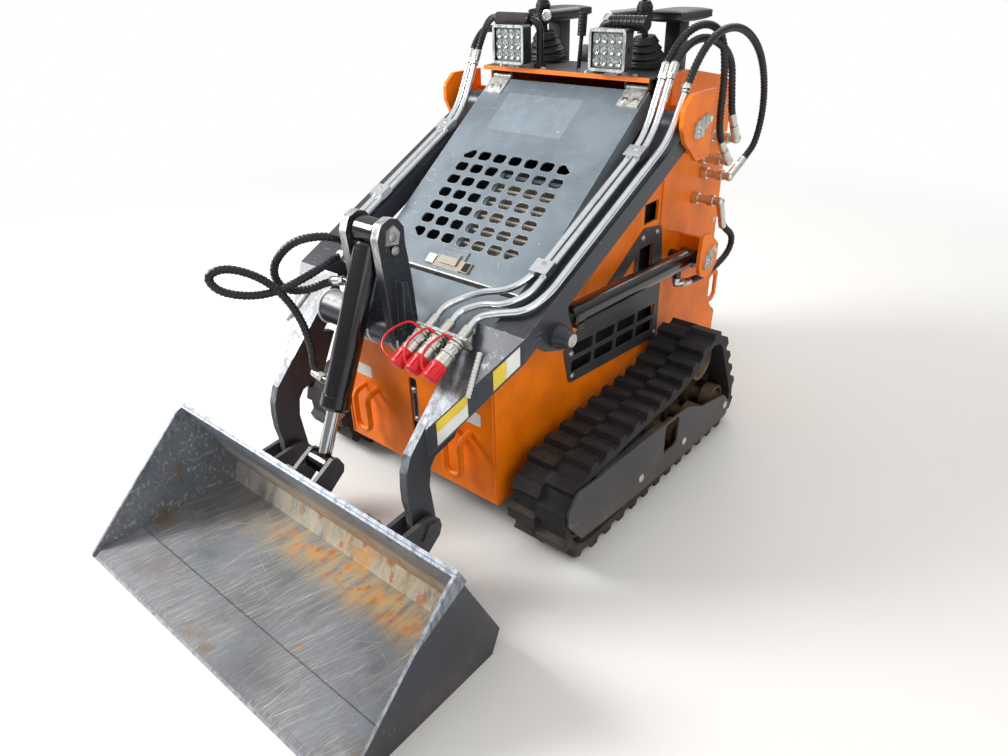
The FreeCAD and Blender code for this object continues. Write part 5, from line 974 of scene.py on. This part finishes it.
class LOADER_OT_cooler(bpy.types.Operator):
    """Place the oil cooler, its post and a near black sheet of painted shade behind the hood's grille, the
    latch and the gauge
    """
    bl_idname = "loader.cooler"
    bl_label = "Oil cooler"

    def execute(self, context):
        left, right, back, front = -40, 206, -92, -40
        tubes, fins, frame_parts, screen = Pile(), Pile(), Pile(), Pile()
        # A near black sheet behind the cooler is painted shade: it makes the grille's holes read dark.
        screen.slab((-296, 296), (-20, 668), (-98, back))
        frame_parts.slab((-74, left), (60, 380), (back, -34))
        frame_parts.slab((right, 222), (60, 380), (back, front))
        for up in (56, 372):
            frame_parts.slab((left, right), (up, up + 10), (back, front))
        for k in range(12):
            low = 80 + k * 24.5
            tubes.slab((left, right), (low, low + 6), (-88, -42))
            for n in range(41):
                x = -38 + n * 6
                lean = 2.2 if n % 2 else -2.2
                fin = ((x - lean, low + 6), (x - lean + 0.7, low + 6), (x + lean + 0.7, low + 24.5),
                       (x + lean, low + 24.5))
                fins.prism([on_hood(a, b, -46) for a, b in fin], [on_hood(a, b, -84) for a, b in fin])
        # The near white tubes are a painted highlight.
        tubes.piece("cooler_tubes", "fins", "chassis", "zinc_steel", False)
        fins.piece("cooler_fins", "radiator", "chassis", "zinc_steel", False)
        frame_parts.piece("cooler_frame", "slate", "chassis", "hood_paint", False)
        # Thin near black sheets at both sides of the engine bay are painted shade as well.
        for hand in (-1, 1):
            for low_y, low_z, high_z in ((-200, 290, 640), (0, 640, 790)):
                low_x, high_x = sorted((266 * hand, 270 * hand))
                screen.box(mm(low_x, low_y, low_z), mm(high_x, 480, high_z), 0.0005)
        screen.piece("engine_bay_shade", "screen", "chassis", "black_plastic", False)
        self.corners()
        self.latch()
        self.gauge()
        return {"FINISHED"}

    def corners(self):
        """The grille's four outer holes are cut to three-cornered openings."""
        fill = Pile()
        for across, row, rise in ((-1, 0, -1), (1, 0, -1), (-1, 6, 1), (1, 6, 1)):
            x, up = 174 * across, 108 + 49 * row
            outer = ((x + 23 * across, up + rise * 17), (x + 23 * across, up - rise * 6),
                     (x - 6 * across, up + rise * 17))
            fill.prism([on_hood(a, b, -0.25) for a, b in outer], [on_hood(a, b, -3.2) for a, b in outer])
        fill.piece("grille_corners", "slate", "hood", "hood_paint", False)

    def latch(self):
        """The plated latch tray with its pocket, a near black sheet of painted shade, and push button."""
        tray, pocket, button = Pile(), Pile(), Pile()
        tray.slab((-80, 81), (16, 48.5), (0.2, 5.6))
        pocket.slab((56, 78), (19, 46), (5.5, 6.0))
        button.slab((-76, -48), (19, 45), (5.5, 9.0))
        tray.piece("latch_tray", "tray", "hood", "zinc_steel", False)
        pocket.piece("latch_pocket_shade", "screen", "hood", "black_plastic", False)
        button.piece("latch_button", "zinc", "hood", "zinc_steel", False)

    def gauge(self):
        """The level gauge in the front panel's slot, in front of a near black backing that paints the slot's
        shade.
        """
        body, glass, back = Pile(), Pile(), Pile()
        back.box(mm(-16, -376, 245), mm(16, -374.6, 425), 0.0002)
        body.box(mm(-12, -379, 278), mm(12, -362, 392), 0.002)
        glass.box(mm(-5, -380.5, 296), mm(5, -378, 374), 0.001)
        for z in (286, 384):
            body.turn([(0.006, 0.0), (0.006, 0.004), (0.0045, 0.005)], mm(0, -379, z), (0, -1, 0), 6)
        back.piece("gauge_slot_shade", "screen", "chassis", "black_plastic", False)
        body.piece("gauge_body", "pin", "chassis", "zinc_steel")
        glass.piece("gauge_glass", "plastic", "chassis", "black_plastic", False)


class LOADER_OT_lamps(bpy.types.Operator):
    """Fill the two work lamps with their light cells and brackets"""
    bl_idname = "loader.lamps"
    bl_label = "Work lamps"

    def execute(self, context):
        sizes = context.scene.loader_sizes
        wide, tall = 0.096 / sizes.lamp_columns, 0.086 / sizes.lamp_lines
        reach = min(wide, tall) * 0.46
        cells, backs, fins = Pile(), Pile(), Pile()
        for hand in (-1, 1):
            centre = mm(LAMP[0] * hand, *LAMP[1:])
            backs.box(centre + mm(-50, 0.5, -45), centre + mm(50, 3.5, 45), 0.001)
            for column in range(sizes.lamp_columns):
                for line in range(sizes.lamp_lines):
                    x = (column - (sizes.lamp_columns - 1) / 2) * wide
                    z = (line - (sizes.lamp_lines - 1) / 2) * tall
                    cells.turn([(reach, 0.0), (reach, 0.0040), (reach * 0.92, 0.0042), (reach * 0.34, 0.0012),
                                (reach * 0.30, 0.0036), (reach * 0.16, 0.0050)],
                               centre + Vector((x, 0.0005, z)), (0, -1, 0))
            for x in range(-45, 60, 15):
                fins.box(centre + mm(x - 1.5, 31.5, -40), centre + mm(x + 1.5, 47, 40), 0.0006)
            fins.box(centre + mm(-61, 10, -8), centre + mm(-58.5, 26, 8), 0.0008)
            fins.box(centre + mm(58.5, 10, -8), centre + mm(61, 26, 8), 0.0008)
        cells.piece("lamp_cells", "lens", "chassis", "lamp_metal")
        backs.piece("lamp_reflectors", "reflector", "chassis", "lamp_metal", False)
        fins.piece("lamp_cooling_fins", "plastic", "chassis", "black_plastic", False)
        return {"FINISHED"}


def rounded_tube(pile, start, end, radius, cut, reach, power, step, sides):
    """A straight tube whose radius falls by cut over reach at both ends."""
    line = straight_line([start, end], step)
    total = (line[-1] - line[0]).length

    def radius_at(travelled, angle):
        edge = min(travelled, total - travelled)
        return radius - cut * max(0.0, 1 - edge / reach) ** power

    pile.sweep(line, radius_at, sides)


class LOADER_OT_controls(bpy.types.Operator):
    """Sleeve the grip bars and add the joystick buttons and dash details"""
    bl_idname = "loader.controls"
    bl_label = "Controls"

    def execute(self, context):
        for hand, finish, side in ((-1, "foam", "right"), (1, "tape", "left")):
            sleeve = Pile()
            inner, outer = mm(144 * hand, 341.5, 1280.3), mm(262 * hand, 333, 1282)
            rounded_tube(sleeve, inner, outer, 0.0196, 0.004, 0.006, 2, 0.003, 24)
            sleeve.piece("grip_sleeve_%s" % side, finish, "chassis", "grip_rubber")
        buttons, dash = Pile(), Pile()
        lean = Vector((0, -math.sin(math.radians(8)), math.cos(math.radians(8))))
        for hand in (-1, 1):
            foot = mm(JOYSTICK[0] * hand, *JOYSTICK[1:])
            buttons.turn([(0.008, -0.002), (0.008, 0.003), (0.006, 0.0045)], foot + lean * 0.170, lean, 16)
            buttons.turn([(0.006, 0.0), (0.006, 0.004), (0.0045, 0.0055)], foot + lean * 0.148 - mm(0, 18, 0),
                         (0, -1, 0.1), 14)
        buttons.piece("joystick_buttons", "plastic", "chassis", "black_plastic")
        for x in (-80, -40, 0, 40, 80):
            dash.turn([(0.013, -0.004), (0.013, 0.003), (0.011, 0.0045), (0.010, 0.0032)], mm(x, 615, 1234),
                      (0, 0.18, 1), 22)
        dash.piece("dash_dials", "plastic", "chassis", "black_plastic")
        return {"FINISHED"}


class PadShape:
    """A crowned pad in a box; axis is its thick direction, and a and b run from -1 to 1 over its face."""

    def __init__(self, low, high, crown, axis):
        self.middle = (low + high) / 2
        self.half = (high - low) / 2
        self.crown = crown
        self.thick = "xyz".index(axis)
        self.flat = [k for k in range(3) if k != self.thick]

    def place(self, a, b, t, shrink):
        """A point of the pad; its sides pull in between the corners."""
        spot = Vector((0, 0, 0))
        spot[self.flat[0]] = a * (1 - 0.035 * (1 - b * b)) * shrink
        spot[self.flat[1]] = b * (1 - 0.035 * (1 - a * a)) * shrink
        spot[self.thick] = t
        return Vector(p * h for p, h in zip(spot, self.half)) + self.middle

    def piping(self, pile):
        """The corded seam around the upper edge."""
        line = []
        for side in range(4):
            for step in range(25):
                along = -1 + 2 * step / 25
                a, b = ((along, -1), (1, along), (-along, 1), (-1, -along))[side]
                shrink = 1 - 0.12 * max(0.0, (abs(along) - 0.86) / 0.14) ** 2
                line.append(self.place(a, b, 1 - self.crown * 0.95, shrink * 0.995))
        pile.tube(line + [line[0]], 0.0028, 8)

    def cushion(self, name, channels=0):
        """The closed cover, whose faces swell; channels are rolls across its upper face."""
        made = bmesh.new()
        bmesh.ops.create_cube(made, size=2.0)
        bmesh.ops.subdivide_edges(made, edges=made.edges[:], cuts=35, use_grid_fill=True)
        for vert in made.verts:
            a, b, t = vert.co[self.flat[0]], vert.co[self.flat[1]], vert.co[self.thick]
            fall = (1 - abs(a) ** 3.2) * (1 - abs(b) ** 3.2)
            roll = 1.0
            if channels and t > 0:
                roll = 0.35 + 0.65 * abs(math.cos(b * math.pi * channels / 2)) ** 0.55
            swell = t * (1 - self.crown + self.crown * roll * max(0.0, fall) ** 0.45)
            vert.co = self.place(a, b, swell, 1 - 0.012 * (1 - t * t))
        mesh = bpy.data.meshes.new(name)
        made.to_mesh(mesh)
        made.free()
        mesh.polygons.foreach_set("use_smooth", [True] * len(mesh.polygons))
        obj = bpy.data.objects.new(name, mesh)
        bpy.context.scene.collection.objects.link(obj)
        bevel = obj.modifiers.new("corners", "BEVEL")
        bevel.width = 0.22 * min(self.half)
        bevel.segments = 3
        bevel.limit_method = "ANGLE"
        bevel.angle_limit = math.radians(50)
        dress(obj, "pad")
        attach(obj, "chassis")
        return obj


class LOADER_OT_pads(bpy.types.Operator):
    """Build the thigh pad and the two padded arm rests"""
    bl_idname = "loader.pads"
    bl_label = "Pads"

    def execute(self, context):
        frames, seams, ends = Pile(), Pile(), Pile()
        thigh = PadShape(mm(-190, 820, 560), mm(190, 880, 960), 0.6, "y")
        pad = thigh.cushion("thigh_pad_cover", channels=4)
        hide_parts("thigh_pad")
        thigh.piping(seams)
        for hand, side in ((-1, "right"), (1, "left")):
            middle, handle = REST_X * hand, HANDLE_X * hand
            rest = PadShape(mm(middle - 60, 500, 1269), mm(middle + 60, 690, 1306), 0.55, "z")
            rest.cushion("arm_rest_pad_%s" % side)
            rest.piping(seams)
            frames.box(mm(middle - 24, 562, 1138), mm(middle + 24, 618, 1272), 0.003)
            rounded_tube(frames, mm(handle, 378, HANDLE_Z), mm(handle, 538, HANDLE_Z), 0.017, 0.004, 0.004, 1,
                         0.004, 20)
            frames.tube([mm(handle, 520, 1288), mm(212 * hand, 520, 1288)], 0.011, 16)
            ends.turn([(0.0165, 0.0), (0.0165, 0.003), (0.0140, 0.0042), (0.0110, 0.0042), (0.0095, 0.0020)],
                      mm(handle, 379, HANDLE_Z), (0, -1, 0), 26)
        seams.piece("pad_seams", "plastic", "chassis", "pad_foam")
        ends.piece("handle_end_caps", "zinc", "chassis", "zinc_steel")
        frame_piece = frames.piece("arm_rest_frames", "plastic", "chassis", "black_plastic")
        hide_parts("armrests")
        return {"FINISHED"}


class LOADER_OT_couplers(bpy.types.Operator):
    """Put red caps with their straps on the three quick couplers"""
    bl_idname = "loader.couplers"
    bl_label = "Coupler caps"

    def execute(self, context):
        caps, straps, rings = Pile(), Pile(), Pile()
        down = (on_arm(0, 1, 0) - on_arm(0, 0, 0)).normalized()
        turn = down.to_track_quat("Z", "Y").to_matrix()

        def on_coupler(aside, along, above=0):
            return on_arm(x + aside, COUPLER_START + along, COUPLER_LIFT + above)

        for x in COUPLER_X:
            foot = on_coupler(0, CAP_START)
            caps.turn([(0.0196, -0.001), (0.0212, 0.001), (0.0212, 0.008), (0.0200, 0.010), (0.0200, 0.036),
                       (0.0185, 0.0425), (0.0150, 0.0440)], foot, down, 28)
            for k in range(CAP_RIBS):
                angle = 2 * math.pi * k / CAP_RIBS
                spot = foot + turn @ Vector((0.0203 * math.cos(angle), 0.0203 * math.sin(angle), 0.012))
                caps.turn([(0.0014, 0.0), (0.0014, 0.024)], spot, down, 6)
            rings.turn([(0.0168, 0.0), (0.0182, 0.001), (0.0182, 0.013), (0.0168, 0.014)], on_coupler(0, 30),
                       down, 6)
            lean = 14 if x == COUPLER_X[0] else -12
            loop = [on_coupler(-10, CAP_START + 34, 10), on_coupler(-34 - lean, CAP_START + 34, 20),
                    on_coupler(-58 - lean, 76, 28), on_coupler(-34 - lean * 0.5, 22, 30),
                    on_coupler(-12, 14, 26), on_coupler(-1, 24, 15)]
            straps.tube(smooth_line(loop, 0.003), 0.0030, 10)
            for at in (12, 21, 48, 68):
                rings.turn([(0.0145, 0.0), (0.0205, 0.0012), (0.0205, 0.0062), (0.0145, 0.0074)],
                           on_coupler(0, at), down, 24)
        caps.piece("coupler_caps", "red", "arms", "black_plastic")
        straps.piece("coupler_straps", "red", "arms", "black_plastic")
        rings.piece("coupler_rings", "zinc", "arms", "zinc_steel")
        return {"FINISHED"}


class LOADER_OT_stickers(bpy.types.Operator):
    """Place the blank stickers"""
    bl_idname = "loader.stickers"
    bl_label = "Blank stickers"

    def on_wedge(self, along, up, hand):
        """A point of the arm's slanted outer face, from its rear joint (0) to its nose (1)."""
        x, y, low, high = (first + (last - first) * along for first, last in zip(*WEDGE))
        return mm(x * hand, y, low + (high - low) * up)

    def execute(self, context):
        yellow, arm_white, front_white = Pile(), Pile(), Pile()
        for hand in (1, -1):
            for pile, start, end, low, high in (
                    (arm_white, 0.05, 0.19, 0.12, 0.88), (yellow, 0.19, 0.32, 0.12, 0.88),
                    (yellow, 0.58, 0.90, 0.56, 0.94), (arm_white, 0.58, 0.90, 0.08, 0.56)):
                corners = [self.on_wedge(along, up, hand) for along, up in (
                    (start, low), (end, low), (end, high), (start, high))]
                pile.sheet(corners[::hand], (0.819 * hand, -0.573, 0))
            corners = [mm(x * hand, -383, z) for x, z in ((175, 362), (255, 362), (255, 402), (175, 402))]
            front_white.sheet(corners[::hand], (0, -1, 0))
        yellow.piece("stickers_yellow", "yellow_label", "arms", "worn_steel", False)
        arm_white.piece("stickers_white_arms", "white_label", "arms", "worn_steel", False)
        front_white.piece("stickers_white_front", "white_label", "chassis", "worn_steel", False)
        return {"FINISHED"}


class LOADER_OT_stage(bpy.types.Operator):
    """Make the floor, lamps, surroundings and camera"""
    bl_idname = "loader.stage"
    bl_label = "Stage"

    def execute(self, context):
        stage = context.scene.loader_stage
        self.camera(context)
        self.floor(context, stage)
        self.lamps(context, stage)
        self.surroundings(context, stage)
        context.scene.view_settings.view_transform = "Standard"
        return {"FINISHED"}

    def camera(self, context):
        """The camera that took the view; focal length and width of the picture are in its pixels."""
        focal, picture = 732.3, 1008
        place = Vector((1.358, -1.574, 1.435))
        yaw, pitch, roll = (math.radians(a) for a in (-40.54, -29.65, -1.42))
        ahead = Vector((math.sin(yaw) * math.cos(pitch), math.cos(yaw) * math.cos(pitch), math.sin(pitch)))
        right = ahead.cross(Vector((0, 0, 1))).normalized()
        above = right.cross(ahead)
        right, above = (right * math.cos(roll) + above * math.sin(roll),
                        above * math.cos(roll) - right * math.sin(roll))
        data = bpy.data.cameras.new("view_camera")
        data.sensor_width = 36
        data.lens = focal / picture * data.sensor_width
        camera = bpy.data.objects.new("view_camera", data)
        context.scene.collection.objects.link(camera)
        turn = Matrix((right, above, -ahead)).transposed().to_4x4()
        camera.matrix_world = Matrix.Translation(place) @ turn
        context.scene.camera = camera

    def floor(self, context, stage):
        """A pale floor that fades to white far from the machine."""
        s = start_material("floor", 0.9, 0.0)
        near = tuple(stage.floor_tone)
        s.feed(s.shader, "Base Color", s.mix(s.noise(3.0, 4.0), tinted(near, 0.97), near))
        reach = s.add("ShaderNodeVectorMath", operation="LENGTH", in_0=s.where).outputs["Value"]
        far = s.add("ShaderNodeEmission", in_Color=(1.0, 1.0, 1.0, 1.0))
        fade = s.add("ShaderNodeMixShader", in_0=s.ramp(reach, stage.bright_near, stage.bright_far),
                     in_1=s.shader.outputs[0], in_2=far.outputs[0])
        s.feed(s.out, "Surface", fade.outputs[0])
        size = 30
        mesh = bpy.data.meshes.new("floor")
        mesh.from_pydata([(-size, -size, 0), (size, -size, 0), (size, size, 0), (-size, size, 0)], [],
                         [(0, 1, 2, 3)])
        mesh.materials.append(s.material)
        obj = bpy.data.objects.new("floor", mesh)
        context.scene.collection.objects.link(obj)
        obj.location.z = -0.0005

    def lamps(self, context, stage):
        for name, place, aim, size, power in (
                ("key", (-3.0, -2.2, 3.0), (0, -0.2, 0.5), 1.5, stage.key_power),
                ("fill", (3.4, -1.8, 2.2), (0, -0.2, 0.5), 2.6, stage.fill_power),
                ("back", (-0.6, 3.2, 3.4), (0, 0.2, 0.7), 2.4, stage.fill_power * 1.8)):
            data = bpy.data.lights.new(name, "AREA")
            data.energy = power
            data.size = size
            lamp = bpy.data.objects.new(name, data)
            context.scene.collection.objects.link(lamp)
            lamp.location = place
            lamp.rotation_euler = (Vector(aim) - Vector(place)).to_track_quat("-Z", "Y").to_euler()

    def surroundings(self, context, stage):
        """White behind the machine, and a soft dome of light that is brightest overhead."""
        world = bpy.data.worlds.new("surroundings")
        context.scene.world = world
        world.use_nodes = True
        world.node_tree.nodes.clear()
        s = Shade(world.node_tree)
        s.where = s.add("ShaderNodeTexCoord").outputs["Generated"]
        dome = s.ramp(s.axis(s.where, "Z"), -0.1, 0.9, 0.35 * stage.sky, 1.75 * stage.sky)
        strength = s.most(s.add("ShaderNodeLightPath").outputs["Is Camera Ray"], dome)
        light = s.add("ShaderNodeBackground", in_Color=(1.0, 1.0, 1.0, 1.0), in_Strength=strength)
        s.add("ShaderNodeOutputWorld", in_Surface=light.outputs[0])


OPERATORS = (LOADER_OT_stage, LOADER_OT_finishes, LOADER_OT_hoses, LOADER_OT_fasteners, LOADER_OT_cooler,
             LOADER_OT_lamps, LOADER_OT_controls, LOADER_OT_pads, LOADER_OT_couplers, LOADER_OT_stickers)


class LOADER_PT_panel(bpy.types.Panel):
    """Sidebar panel with one button for each group of pieces"""
    bl_label = "Loader"
    bl_idname = "LOADER_PT_panel"
    bl_space_type = "VIEW_3D"
    bl_region_type = "UI"
    bl_category = "Loader"

    def draw(self, context):
        layout = self.layout
        for operator in OPERATORS:
            layout.operator(operator.bl_idname)
        for group in (context.scene.loader_finish, context.scene.loader_sizes, context.scene.loader_stage):
            box = layout.box()
            for name in group.__annotations__:
                box.prop(group, name)


CLASSES = (LoaderFinish, LoaderSizes, LoaderStage) + OPERATORS + (LOADER_PT_panel,)


def register():
    for kind in CLASSES:
        bpy.utils.register_class(kind)
    bpy.types.Scene.loader_finish = PointerProperty(type=LoaderFinish)
    bpy.types.Scene.loader_sizes = PointerProperty(type=LoaderSizes)
    bpy.types.Scene.loader_stage = PointerProperty(type=LoaderStage)


def unregister():
    del bpy.types.Scene.loader_stage
    del bpy.types.Scene.loader_sizes
    del bpy.types.Scene.loader_finish
    for kind in reversed(CLASSES):
        bpy.utils.unregister_class(kind)


def main():
    register()
    bpy.ops.loader.stage()
    bpy.ops.loader.finishes()
    bpy.ops.loader.hoses()
    bpy.ops.loader.fasteners()
    bpy.ops.loader.cooler()
    bpy.ops.loader.lamps()
    bpy.ops.loader.controls()
    bpy.ops.loader.pads()
    bpy.ops.loader.couplers()
    bpy.ops.loader.stickers()


if __name__ == "__main__":
    main()
